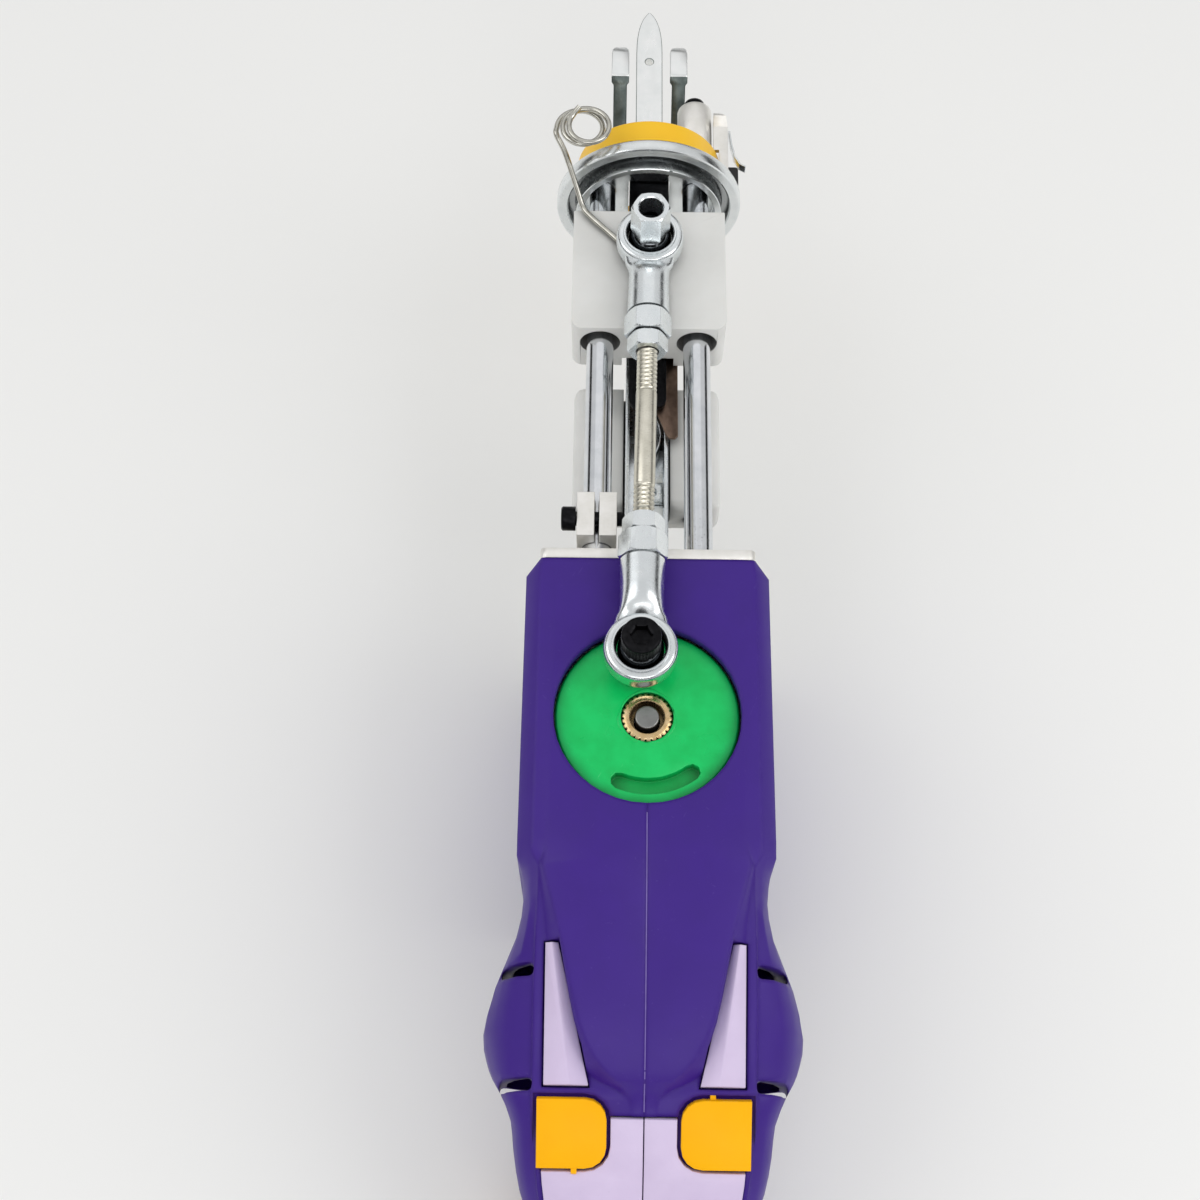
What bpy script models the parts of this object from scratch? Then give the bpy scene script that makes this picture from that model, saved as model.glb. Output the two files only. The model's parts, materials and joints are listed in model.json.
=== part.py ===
"""Handheld tufting machine: a vertical motor turns a crank wheel, whose connecting rod drives the needle.

Metres, +Z up. The origin is the middle of the flat underside, on the crank shaft's axis, and +Y points
to the needle. Run with blender --background --python part.py, or from the text editor.
"""
import math

import bmesh
import bpy
from mathutils import Matrix, Vector

# Clearances shared by all pieces
fit_gap = 0.0003
slide_gap = 0.0004
cut_overrun = 0.004
round_sides = 24
hex_sides = 6

# Housing
box_height = 0.100
box_half_width = 0.0335
box_front = 0.0453
box_rear = 0.038
tail_length = 0.1115
edge_chamfer = 0.004
housing_wall = 0.0028
seam_gap = 0.0003
lap_reach = 0.0035
lap_thickness = 0.0013
lap_front_back = 0.010
wheel_opening_radius = 0.025
vent_length = 0.0034
vent_inner = 0.0284
vent_outer = 0.0372
vent_low = 0.050

# Rear body, as shares. Each row of the spine is a slice between an underside point and an outer point:
# outer reach behind the box and outer height, underside reach and height, half width, crease place,
# drop to the widest point, rise of the middle tongue, tongue half width, flat half of the underside, roundness
tail_station_shares = [
    (0.031, 0.998, 0.009, 0.500, 0.967, 0.836, 0.080, 0.015, 0.794, 0.75, 0.5),
    (0.090, 0.990, 0.063, 0.555, 0.955, 0.836, 0.120, 0.030, 0.740, 0.70, 0.8),
    (0.161, 0.976, 0.161, 0.570, 1.015, 0.848, 0.180, 0.045, 0.672, 0.65, 1.0),
    (0.269, 0.946, 0.269, 0.570, 1.185, 0.857, 0.200, 0.055, 0.582, 0.60, 1.0),
    (0.368, 0.912, 0.359, 0.565, 1.260, 0.857, 0.190, 0.060, 0.499, 0.60, 1.0),
    (0.445, 0.876, 0.413, 0.555, 1.230, 0.857, 0.170, 0.060, 0.376, 0.55, 1.0),
    (0.493, 0.846, 0.448, 0.540, 1.176, 0.857, 0.150, 0.045, 0.209, 0.50, 1.0),
    (0.525, 0.805, 0.466, 0.520, 1.113, 0.857, 0.130, 0.006, 0.090, 0.45, 1.0),
    (0.592, 0.765, 0.498, 0.485, 1.027, 0.848, 0.120, 0.004, 0.090, 0.35, 1.0),
    (0.668, 0.715, 0.520, 0.440, 1.003, 0.821, 0.110, 0.003, 0.090, 0.30, 1.0),
    (0.753, 0.640, 0.538, 0.380, 0.960, 0.785, 0.110, 0.003, 0.090, 0.27, 1.0),
    (0.852, 0.510, 0.561, 0.290, 0.860, 0.685, 0.110, 0.003, 0.090, 0.25, 1.0),
    (0.924, 0.340, 0.583, 0.190, 0.776, 0.600, 0.100, 0.003, 0.090, 0.25, 1.0),
    (0.969, 0.160, 0.605, 0.090, 0.746, 0.570, 0.090, 0.003, 0.090, 0.27, 1.0),
    (0.996, 0.020, 0.624, 0.012, 0.760, 0.580, 0.090, 0.003, 0.090, 0.30, 1.0),
    (1.000, 0.000, 0.628, 0.000, 0.725, 0.550, 0.090, 0.003, 0.090, 0.30, 1.0),
]
crease_step = 0.0012
smooth_steps = 2

# Trim set into the housing
trim_depth = 0.0017
trim_proud = 0.0006
wedge_reach_shares = (0.200, 0.494)
wedge_outer_share = 0.750
wedge_front_inner_share = 0.675
wedge_rear_inner_share = 0.436
wedge_ridge_rise = 0.0012
tab_width = 0.0177
tab_length = 0.0177
tab_thickness = 0.0022
tab_corner_radius = 0.0055
tab_inner_place = 0.0094
tab_reach_share = 0.597
tab_height_share = 0.7655
tab_slope = math.radians(27)
tab_black_gap = 0.0013
panel_start_share = 0.566
panel_end_share = 0.982
panel_edge_margin = 0.0019
panel_steps = 16

# Motor, shaft and crank wheel
motor_radius = 0.021
motor_floor_gap = 0.0122
motor_plate_gap = 0.0020
motor_plate_thickness = 0.003
motor_boss_radius = 0.006
shaft_radius = 0.0033
wheel_radius = 0.0245
wheel_thickness = 0.008
wheel_recess = 0.003
wheel_edge_chamfer = 0.0006
hub_radius = 0.00675
hub_bore_radius = 0.0046
hub_knurl_count = 24
hub_knurl_depth = 0.0003
hub_counterbore = 0.002
hub_sink = 0.0002
relief_radius = 0.0194
relief_width = 0.0045
relief_depth = 0.0032
relief_half_angle = math.radians(30)
crank_radius = 0.015
crank_rest_angle = math.radians(7.7)

# Connecting rod
conrod_length = 0.132
eye_above_housing = 0.0071
eye_head_radius = 0.0099
eye_head_thickness = 0.00675
eye_ball_width = 0.009
eye_ball_radius = 0.0063
eye_bore_radius = 0.003
eye_race_radius = 0.0070
eye_race_ring = 0.0008
eye_race_raise = 0.0004
eye_shank_half_width = 0.0058
eye_shank_half_height = 0.0048
eye_shank_chamfer = 0.0021
eye_shoulder_angle = math.radians(34.5)
eye_collar_radius = 0.0069
eye_collar_start = 0.027
eye_collar_end = 0.034
stud_radius = 0.003
stud_inside_length = 0.014
jam_nut_flats = 0.010
jam_nut_thickness = 0.005
crank_screw_head_radius = 0.0053
crank_screw_head_height = 0.0056
crank_screw_socket_flats = 0.005
crank_screw_socket_depth = 0.003
spacer_flats = 0.0115
stud_nut_flats = 0.010
stud_nut_length = 0.0108
stud_nut_bore_radius = 0.0034

# Needle slide
rod_radius = 0.004
rod_half_spacing = 0.0143
rod_drop = 0.0072
rod_inner_end = 0.031
slider_half_width = 0.0228
slider_length = 0.042
slider_ahead = 0.0152
slider_top_gap = 0.0066
slider_height = 0.020
slider_groove_half_width = 0.0078
slider_groove_depth = 0.0040
slider_edge_radius = 0.003
slider_counterbore_radius = 0.006
slider_counterbore_depth = 0.004
slider_stud_depth = 0.010
holder_half_width = 0.0060
holder_height = 0.0135
holder_length = 0.0160
needle_drop = 0.0170
needle_half_width = 0.0044
needle_height = 0.0046
needle_length = 0.0762
needle_point_width_share = 2.5
needle_channel_half_width = 0.0029
needle_channel_depth = 0.0032
needle_hole_radius = 0.0016
needle_hole_from_tip = 0.0178
needle_grip_length = 0.0060
needle_point_shares = ((1.0, 1.0), (0.95, 0.79), (0.80, 0.53), (0.62, 0.38), (0.38, 0.20), (0.0, 0.0))

# Yarn guide wire
wire_radius = 0.00075
wire_loop_radius = 0.0042
wire_coil_radius = 0.00645
wire_coil_turns = 2
wire_coil_pitch = 0.0022
wire_coil_drift = (0.0013, -0.0011)
wire_coil_overrun = 0.07
wire_loop_start = math.radians(150)
wire_loop_step = math.radians(26)
wire_points_per_turn = 24
wire_coil_right = 0.0199
wire_coil_ahead = 0.0340
wire_coil_rise = 0.0160
wire_knee_right = 0.0195
wire_knee_ahead = 0.0137
wire_knee_rise = 0.0016
wire_tail = (0.0026, 0.0030, 0.0016)

# Foot: ring, collar, fork and the pieces right of them
ring_drop = 0.0127
ring_ahead = 0.01495
ring_flange_width = 0.0035
ring_depth = 0.0040
ring_groove_width = 0.0024
ring_rim_wall = 0.0021
ring_rim_depth = 0.0065
ring_web = 0.0012
ring_window_half_width = 0.0068
ring_window_height = 0.0240
ring_window_drop = 0.0108
collar_rod_gap = 0.0013
collar_wall = 0.0017
collar_length = 0.0122
fork_arm_spacing = 0.0093
fork_arm_width = 0.0043
fork_tip_width = 0.0056
fork_thickness = 0.0016
fork_base_drop = 0.0146
fork_base_height = 0.0042
fork_base_half_width = 0.0125
# Of each arm's reach, of its rise, and of the step from the arm's width to the tip's.
fork_arm_shares = ((0.0, 0.0, 0.0), (0.055, 0.0, 0.0), (0.55, 0.34, 0.0), (0.764, 0.89, 0.0), (0.772, 0.91, 1.0),
                   (0.795, 0.97, 1.0), (0.95, 1.0, 1.0), (0.972, 0.98, 0.75), (0.988, 0.964, 0.1),
                   (1.0, 0.95, -1.2))
fork_reach = 0.0526
fork_rise = 0.0206
boss_radius = 0.0054
boss_start = 0.0126
boss_length = 0.0175
boss_dome = 0.0045
boss_cap_radius = 0.0038
boss_cap_length = 0.0034
bracket_thickness = 0.0015
bracket_width = 0.0045
bracket_arm_width = 0.0028
bracket_reach = 0.0250
bracket_lip = 0.0034
bracket_curve = 0.0035
leaf_thickness = 0.0005
leaf_height = 0.0030
leaf_length = 0.0140
leaf_bow = 0.0050
bumper_width = 0.0050
bumper_length = 0.0070
bumper_height = 0.0100

# Rod clamp
clamp_ahead = 0.0030
clamp_width = 0.0112
clamp_length = 0.0136
clamp_drop = 0.0064
clamp_cover = 0.0022
clamp_slit = 0.0012
clamp_screw_radius = 0.0020
clamp_head_radius = 0.0034
clamp_head_length = 0.0040
clamp_screw_stickout = 0.0016

# Cutter carriage below the rods
plate_thickness = 0.003
plate_half_width = 0.0298
plate_edge_margin = 0.0010
lower_rod_drop = 0.0320
lower_rod_radius = 0.003
sleeve_radius = 0.0058
sleeve_length = 0.0120
carriage_rear = 0.0255
carriage_half_width = 0.0220
carriage_length = 0.0415
carriage_height = 0.0158
carriage_edge_radius = 0.003
channel_half_width = 0.0064
channel_height = 0.0100
channel_wall = 0.0012
channel_rise = 0.0072
channel_length = 0.1150
carriage_groove_floor_gap = 0.0004
lever_thickness = 0.0010
lever_rear_ahead = 0.0463
lever_tail_inner = 0.0066
lever_tail_outer = 0.0092
lever_corner = 0.0008
leaf_spring_length = 0.0170
leaf_spring_bow = 0.0026
leaf_spring_thickness = 0.0005
leaf_spring_start = 0.0406
square_nut_side = 0.0064
square_nut_thickness = 0.0022
square_nut_hole_radius = 0.0016
square_nut_ahead = 0.0328
link_width = 0.0112
link_thickness = 0.0022
link_length = 0.0500
link_slot_half_width = 0.0022
blade_length = 0.0600
blade_width = 0.0052
blade_thickness = 0.0010
blade_point_share = 0.35
blade_foot_length = 0.0100
blade_pivot_ahead = 0.1050
blade_pin_radius = 0.0012

# Grip: trigger, buttons and electrics
trigger_width = 0.0136
trigger_height = 0.0230
trigger_centre_share = 0.400
trigger_reach = 0.0095
trigger_depth = 0.0095
trigger_hollow = 0.0030
trigger_travel = 0.0050
switch_length = 0.0120
switch_height = 0.0170
switch_width = 0.0110
switch_rib_reach_share = 0.700
switch_rib_thickness = 0.0025
switch_rib_length = 0.0100
lock_button_radius = 0.0036
lock_button_length = 0.0080
lock_button_proud = 0.0030
lock_reach_share = 0.800
lock_slice_point = 4
knob_radius = 0.0075
knob_thickness = 0.0050
knob_stem_radius = 0.0030
knob_height_share = 0.150
knob_reach_share = 0.800
knob_notches = 12
jack_radius = 0.0055
jack_length = 0.0120
jack_bore_radius = 0.0034
jack_bore_depth = 0.0090
jack_reach_share = 0.790
jack_recess = 0.0010
board_width = 0.0240
board_length = 0.0300
board_thickness = 0.0016

# Places worked out from the sizes above
wheel_top = box_height - wheel_recess
motor_plate_top = wheel_top - wheel_thickness - motor_plate_gap
motor_bottom = housing_wall + motor_floor_gap
eye_height = box_height + eye_above_housing
pin_x = -crank_radius * math.sin(crank_rest_angle)
pin_y = crank_radius * math.cos(crank_rest_angle)
stud_y = pin_y + math.sqrt(conrod_length ** 2 - pin_x ** 2)
rod_angle = math.atan2(pin_x, stud_y - pin_y)
rod_height = box_height - rod_drop
slider_top = eye_height - slider_top_gap
slider_front = stud_y + slider_ahead
slider_rear = slider_front - slider_length
ring_height = box_height - ring_drop
ring_front_y = slider_front + ring_ahead
rod_reach = math.hypot(rod_half_spacing, ring_drop - rod_drop) + rod_radius
collar_radius = rod_reach + collar_rod_gap + collar_wall
ring_rim_outer_radius = collar_radius + fit_gap
ring_rim_inner_radius = ring_rim_outer_radius - ring_rim_wall
ring_flange_inner_radius = ring_rim_outer_radius + ring_groove_width
ring_outer_radius = ring_flange_inner_radius + ring_flange_width
bracket_inner = rod_half_spacing + boss_radius + fit_gap
bracket_outer = bracket_inner + bracket_width
plate_rear = box_front + fit_gap
plate_front = plate_rear + plate_thickness
lower_rod_height = box_height - lower_rod_drop
carriage_start = plate_front + carriage_rear
lower_rod_length = carriage_start + carriage_length - plate_rear
channel_base = lower_rod_height - carriage_height / 2 + channel_rise
ball_top = eye_height + eye_ball_width / 2

FINISHES = {
    "purple_abs": ((0.060, 0.022, 0.230), 0.45, 0.0),
    "lavender_abs": ((0.620, 0.500, 0.740), 0.50, 0.0),
    "yellow_abs": ((0.980, 0.490, 0.003), 0.50, 0.0),
    "orange_abs": ((1.000, 0.540, 0.020), 0.50, 0.0),
    "green_abs": ((0.010, 0.620, 0.130), 0.40, 0.0),
    "white_nylon": ((0.760, 0.760, 0.730), 0.45, 0.0),
    "aluminium": ((0.780, 0.770, 0.740), 0.35, 1.0),
    "zinc_steel": ((0.640, 0.670, 0.690), 0.22, 1.0),
    "ground_steel": ((0.520, 0.530, 0.560), 0.15, 1.0),
    "stud_steel": ((0.560, 0.550, 0.500), 0.30, 1.0),
    "brass": ((0.720, 0.480, 0.200), 0.25, 1.0),
    "bronze": ((0.300, 0.220, 0.170), 0.35, 1.0),
    "black_oxide": ((0.012, 0.012, 0.013), 0.35, 0.6),
    "black_rubber": ((0.012, 0.012, 0.012), 0.70, 0.0),
    "board_green": ((0.010, 0.120, 0.050), 0.50, 0.0),
}


def clear_scene():
    for item in list(bpy.data.objects):
        bpy.data.objects.remove(item, do_unlink=True)


def material(finish):
    """The finish's material, made the first time it is asked for."""
    found = bpy.data.materials.get(finish)
    if found:
        return found
    colour, roughness, metallic = FINISHES[finish]
    made = bpy.data.materials.new(finish)
    made.use_nodes = True
    shader = made.node_tree.nodes["Principled BSDF"]
    shader.inputs["Base Color"].default_value = (*colour, 1.0)
    shader.inputs["Roughness"].default_value = roughness
    shader.inputs["Metallic"].default_value = metallic
    return made


def body_empty(name, place):
    """An empty on a joint's axis, which carries the pieces of one moving body."""
    empty = bpy.data.objects.new(name, None)
    empty.location = place
    bpy.context.scene.collection.objects.link(empty)
    return empty


def add_object(name, finish, data, place, body=None):
    item = bpy.data.objects.new(name, data)
    item.location = place
    data.materials.append(material(finish))
    bpy.context.scene.collection.objects.link(item)
    if body:
        item.parent = body
        item.matrix_parent_inverse = Matrix.Translation(-body.location)
    return item


def finish_mesh(name, shape):
    """Turns a bmesh into a mesh with outward faces, smooth except at sharp edges."""
    bmesh.ops.recalc_face_normals(shape, faces=shape.faces)
    data = bpy.data.meshes.new(name)
    shape.to_mesh(data)
    shape.free()
    data.shade_smooth()
    data.set_sharp_from_angle(angle=math.radians(35))
    return data


def turned_mesh(name, profile, sides, hollow=False):
    """Turns a profile of (radius, height) points round Z. A hollow profile closes on itself."""
    shape = bmesh.new()
    rings = []
    for radius, height in profile:
        if radius == 0:
            rings.append([shape.verts.new((0, 0, height))])
            continue
        steps = [2 * math.pi * k / sides for k in range(sides)]
        rings.append([shape.verts.new((radius * math.cos(a), radius * math.sin(a), height)) for a in steps])
    pairs = list(zip(rings, rings[1:]))
    if hollow:
        pairs.append((rings[-1], rings[0]))
    for low, high in pairs:
        for k in range(sides):
            n = (k + 1) % sides
            corners = [low[k % len(low)], low[n % len(low)], high[n % len(high)], high[k % len(high)]]
            unique = list(dict.fromkeys(corners))
            if len(unique) > 2:
                shape.faces.new(unique)
    return finish_mesh(name, shape)


FACING = {"up": (0, 0, 0), "ahead": (-math.pi / 2, 0, 0), "right": (0, math.pi / 2, 0)}


def turned(name, finish, profile, place, facing="up", sides=round_sides, hollow=False, body=None):
    item = add_object(name, finish, turned_mesh(name, profile, sides, hollow), place, body)
    item.rotation_euler = FACING[facing]
    return item


def prism_mesh(name, outline, low, high, axis):
    """Extrudes an outline along X, Y or Z. Its points are (y, z), (x, z) or (x, y)."""
    shape = bmesh.new()
    order = {"X": lambda a, b, c: (c, a, b), "Y": lambda a, b, c: (a, c, b), "Z": lambda a, b, c: (a, b, c)}[axis]
    bottom = [shape.verts.new(order(a, b, low)) for a, b in outline]
    top = [shape.verts.new(order(a, b, high)) for a, b in outline]
    shape.faces.new(bottom)
    shape.faces.new(top)
    for k in range(len(outline)):
        n = (k + 1) % len(outline)
        shape.faces.new((bottom[k], bottom[n], top[n], top[k]))
    return finish_mesh(name, shape)


def prism(name, finish, outline, low, high, axis, place=(0, 0, 0), body=None):
    return add_object(name, finish, prism_mesh(name, outline, low, high, axis), place, body)


def rectangle(low_a, high_a, low_b, high_b):
    return [(low_a, low_b), (high_a, low_b), (high_a, high_b), (low_a, high_b)]


def rounded_rectangle(low_a, high_a, low_b, high_b, radius, steps=3):
    points = []
    corners = ((high_a, high_b, 0), (low_a, high_b, 1), (low_a, low_b, 2), (high_a, low_b, 3))
    for a, b, quarter in corners:
        centre_a = a - math.copysign(radius, a - (low_a + high_a) / 2)
        centre_b = b - math.copysign(radius, b - (low_b + high_b) / 2)
        for k in range(steps + 1):
            angle = (quarter + k / steps) * math.pi / 2
            points.append((centre_a + radius * math.cos(angle), centre_b + radius * math.sin(angle)))
    return points


def hexagon(flats, turn=0.0):
    radius = flats / math.sqrt(3)
    angles = [turn + math.pi * k / 3 for k in range(hex_sides)]
    return [(radius * math.cos(a), radius * math.sin(a)) for a in angles]


def strip_outline(points, thickness):
    """The outline of a bent strip that follows the points, with its thickness to the left."""
    offset = []
    for k, point in enumerate(points):
        before = Vector(points[max(k - 1, 0)])
        after = Vector(points[min(k + 1, len(points) - 1)])
        along = (after - before).normalized()
        offset.append((point[0] - along.y * thickness, point[1] + along.x * thickness))
    return list(points) + offset[::-1]


def ribbon(name, finish, stations, thickness, middle, body):
    """A bent strip whose width may change along its way. Its stations are (y, z, half width)."""
    outline = strip_outline([(y, z) for y, z, half in stations], thickness)
    shape = bmesh.new()
    rows = []
    for (y, z, half), upper in zip(stations, reversed(outline)):
        corners = ((middle - half, y, z), (middle + half, y, z), (middle + half, *upper), (middle - half, *upper))
        rows.append([shape.verts.new(corner) for corner in corners])
    shape.faces.new(rows[0])
    shape.faces.new(rows[-1])
    for near, far in zip(rows, rows[1:]):
        for k in range(4):
            n = (k + 1) % 4
            shape.faces.new((near[k], near[n], far[n], far[k]))
    return add_object(name, finish, finish_mesh(name, shape), (0, 0, 0), body)


def hide_tool(tool):
    tool.hide_render = True
    tool.display_type = "WIRE"
    return tool


def combine(item, tool, operation):
    step = item.modifiers.new(operation.lower(), "BOOLEAN")
    step.operation = operation
    step.object = hide_tool(tool)


def cut_prism(items, outline, low, high, axis, place=(0, 0, 0)):
    """Cuts one extruded outline from every item given, in the first item's own body."""
    tool = prism(items[0].name + "_cutter", "black_rubber", outline, low, high, axis, place)
    return cut_all(items, tool)


def cut_bore(items, radius, low, high, place, facing="up", sides=round_sides):
    tool = turned(items[0].name + "_bore", "black_rubber", [(0, low), (radius, low), (radius, high), (0, high)],
                  place, facing, sides)
    return cut_all(items, tool)


def cut_all(items, tool):
    if items[0].parent:
        tool.parent = items[0].parent
        tool.matrix_parent_inverse = Matrix.Translation(-items[0].parent.location)
    for item in items:
        combine(item, tool, "DIFFERENCE")
    return tool


def round_edges(item, width, segments=2):
    step = item.modifiers.new("edges", "BEVEL")
    step.width = width
    step.segments = segments
    step.limit_method = "ANGLE"
    step.angle_limit = math.radians(50)


def tube(name, finish, points, radius, body=None, resolution=1):
    """A wire or tube along the points, with closed ends."""
    data = bpy.data.curves.new(name, "CURVE")
    data.dimensions = "3D"
    data.bevel_depth = radius
    data.bevel_resolution = resolution
    data.use_fill_caps = True
    line = data.splines.new("POLY")
    line.points.add(len(points) - 1)
    for knot, point in zip(line.points, points):
        knot.co = (*point, 1.0)
    return add_object(name, finish, data, (0, 0, 0), body)


def smooth_curve(knots, steps):
    """Points on a Catmull-Rom curve through the knots."""
    points = []
    for k in range(len(knots) - 1):
        before, start = Vector(knots[max(k - 1, 0)]), Vector(knots[k])
        end, after = Vector(knots[k + 1]), Vector(knots[min(k + 2, len(knots) - 1)])
        for n in range(steps):
            t = n / steps
            points.append(blend_knots(before, start, end, after, t))
    points.append(Vector(knots[-1]))
    return points


def blend_knots(before, start, end, after, t):
    return 0.5 * (2 * start + (end - before) * t + (2 * before - 5 * start + 4 * end - after) * t ** 2
                  + (3 * start - before - 3 * end + after) * t ** 3)


# Housing form: one loft from the box's front face, along the rear body and down the grip


def tail_rows():
    """The rear body's slices in real sizes, smoothed between the chosen ones."""
    rows = []
    for share in tail_station_shares:
        out_reach, out_height, in_reach, in_height, half, crease, drop, rise, tongue, flat, roundness = share
        rows.append(Vector((
            -box_rear - out_reach * tail_length, out_height * box_height,
            -box_rear - in_reach * tail_length, in_height * box_height,
            half * box_half_width, crease * box_half_width, drop * box_height, rise * box_height,
            tongue * box_half_width, flat * box_half_width, roundness)))
    return smooth_curve(rows, smooth_steps)


def box_rows():
    """The square motor box: chamfered front corners, straight sides and a rounded rear edge."""
    crease = box_half_width - edge_chamfer
    front_half = box_half_width - edge_chamfer
    tongue = crease - edge_chamfer
    flat = box_half_width - edge_chamfer
    thin = edge_chamfer / 8
    return [
        Vector((box_front, box_height, box_front, 0, front_half, front_half - thin, thin, thin / 4, tongue,
                flat - edge_chamfer, 0)),
        Vector((box_front - edge_chamfer, box_height, box_front - edge_chamfer, 0, box_half_width, crease,
                edge_chamfer, thin / 4, tongue, flat, 0)),
        Vector((-box_rear + edge_chamfer, box_height, -box_rear + edge_chamfer, 0, box_half_width, crease,
                edge_chamfer, thin / 4, tongue, flat, 0)),
        Vector((-box_rear, box_height, -box_rear, edge_chamfer, box_half_width, crease,
                edge_chamfer * 1.2, thin, tongue, flat, 0)),
    ]


def slice_side(row):
    """The right side of one slice, from the middle of the underside to the middle of the top."""
    outer = Vector((0, row[0], row[1]))
    base = Vector((0, row[2], row[3]))
    along = (outer - base).normalized()
    height = (outer - base).length
    half, crease, drop, rise, tongue, flat, roundness = row[4:11]
    shelf = height - rise
    widest = shelf - crease_step * roundness - drop
    side = [(0, 0)]
    for k in range(5):
        t = k / 4
        square = (half - edge_chamfer + edge_chamfer * min(4 * t, 1), edge_chamfer * min(4 * t, 1)
                  + (widest - edge_chamfer) * max(4 * t - 1, 0) / 3)
        curved = (flat + (half - flat) * math.sin(t * math.pi / 2), widest * (1 - math.cos(t * math.pi / 2)))
        side.append(tuple(s + (c - s) * roundness for s, c in zip(square, curved)))
    for k in range(1, 5):
        t = k / 4
        top = shelf - crease_step * roundness
        straight = (half + (crease - half) * t, widest + (top - widest) * t)
        curved = (crease + (half - crease) * math.cos(t * math.pi / 2),
                  widest + (top - widest) * math.sin(t * math.pi / 2))
        side.append(tuple(s + (c - s) * roundness for s, c in zip(straight, curved)))
    lip = crease_step / 4
    foot = tongue + min(rise, (crease - tongue) / 2) + lip
    side += [(crease - lip, shelf), (foot, shelf), ((foot + tongue) / 2, shelf + rise / 2), (tongue, height)]
    side.append((0, height))
    return [base + along * h + Vector((x, 0, 0)) for x, h in side]


def full_ring(side):
    return side + [Vector((-point.x, point.y, point.z)) for point in side[-2:0:-1]]


def half_ring(side, sign):
    """One half of a slice, ending half a seam gap away from the middle."""
    return [Vector((sign * max(point.x, seam_gap / 2), point.y, point.z)) for point in side]


def loft_mesh(name, rings):
    shape = bmesh.new()
    loops = [[shape.verts.new(point) for point in ring] for ring in rings]
    for low, high in zip(loops, loops[1:]):
        for k in range(len(low)):
            n = (k + 1) % len(low)
            shape.faces.new((low[k], low[n], high[n], high[k]))
    shape.faces.new(loops[0])
    shape.faces.new(loops[-1])
    return finish_mesh(name, shape)


def offset_line(points, inset, side):
    """Moves a (y, z) line sideways by the inset, mitred at its corners."""
    moved = []
    for k, point in enumerate(points):
        before, after = points[max(k - 1, 0)], points[min(k + 1, len(points) - 1)]
        first = (point - before) if k > 0 else (after - point)
        second = (after - point) if k < len(points) - 1 else first
        normal_a = Vector((-first.y, first.x)).normalized()
        normal_b = Vector((-second.y, second.x)).normalized()
        middle = (normal_a + normal_b).normalized()
        moved.append(point + middle * (side * inset / max(middle.dot(normal_a), 0.5)))
    return moved


def base_lap(halves):
    """The right half's floor laps under the left half's, so the seam is closed below the motor."""
    front = box_front - lap_front_back
    rear = -box_rear + lap_front_back
    lap = prism("housing_lap", "purple_abs", rectangle(-lap_reach, lap_reach, rear, front), 0, lap_thickness, "Z")
    combine(halves[1], lap, "UNION")
    rebate = rectangle(-lap_reach - fit_gap, lap_reach, rear - fit_gap, front + fit_gap)
    cut_prism([halves[0]], rebate, -cut_overrun, lap_thickness + fit_gap, "Z")


def hollow_rows(rows):
    """The slices of the space inside, one wall thickness in from the underside and the outer line."""
    outer = offset_line([Vector((row[0], row[1])) for row in rows], housing_wall, 1)
    inner = offset_line([Vector((row[2], row[3])) for row in rows], housing_wall, -1)
    moved = []
    for row, out_point, in_point in zip(rows, outer, inner):
        values = list(row)
        values[0:4] = [out_point.x, out_point.y, in_point.x, in_point.y]
        values[4] -= housing_wall
        values[5] -= housing_wall
        values[8] = max(values[8] - housing_wall, housing_wall)
        values[9] = max(values[9] - housing_wall, housing_wall)
        moved.append(Vector(values))
    return moved


def housing_halves():
    """The two clamshell halves, hollowed out and open where the crank wheel sits."""
    sides = [slice_side(row) for row in box_rows() + tail_rows()]
    halves = []
    for name, sign in (("housing_left", -1), ("housing_right", 1)):
        mesh = loft_mesh(name, [half_ring(side, sign) for side in sides])
        halves.append(add_object(name, "purple_abs", mesh, (0, 0, 0)))
    coarse = box_rows() + tail_rows()[::smooth_steps]
    inside = hollow_rows(coarse)[:-1]
    for column in (0, 2):
        inside[0][column] += cut_overrun
    lift = Vector((0, 0, 1)) * housing_wall
    rings = [full_ring(slice_side(row)) for row in inside]
    rings[-1] = [point + lift for point in rings[-1]]
    cut_all(halves, add_object("housing_hollow", "black_rubber", loft_mesh("housing_hollow", rings), (0, 0, 0)))
    base_lap(halves)
    cut_bore(halves, wheel_opening_radius, 0, housing_wall + cut_overrun * 2,
             (0, 0, box_height - housing_wall - cut_overrun), sides=40)
    return halves


def vent_places():
    """Middles of the four vent slots along Y, as named shares of the rear body."""
    vent_reach_shares = (0.249, 0.492)
    return [-box_rear - share * tail_length for share in vent_reach_shares]


def cut_vents(halves):
    for y in vent_places():
        for half, side in zip(halves, (-1, 1)):
            low, high = sorted((side * vent_inner, side * vent_outer))
            outline = rounded_rectangle(low, high, y - vent_length / 2, y + vent_length / 2, vent_length * 0.4)
            cut_prism([half], outline, vent_low, box_height, "Z")


# Trim pieces and the pockets they sit in


def tail_row_at(reach_share):
    """One slice at a reach along the outer line, between the chosen slices."""
    y = -box_rear - reach_share * tail_length
    rows = tail_rows()
    for before, after in zip(rows, rows[1:]):
        if after[0] <= y <= before[0]:
            return before.lerp(after, (y - before[0]) / (after[0] - before[0]))
    return rows[-1]


def shelf_point(reach_share, x, lift):
    row = tail_row_at(reach_share)
    return Vector((x, row[0], row[1] - row[7] + lift))


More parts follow.
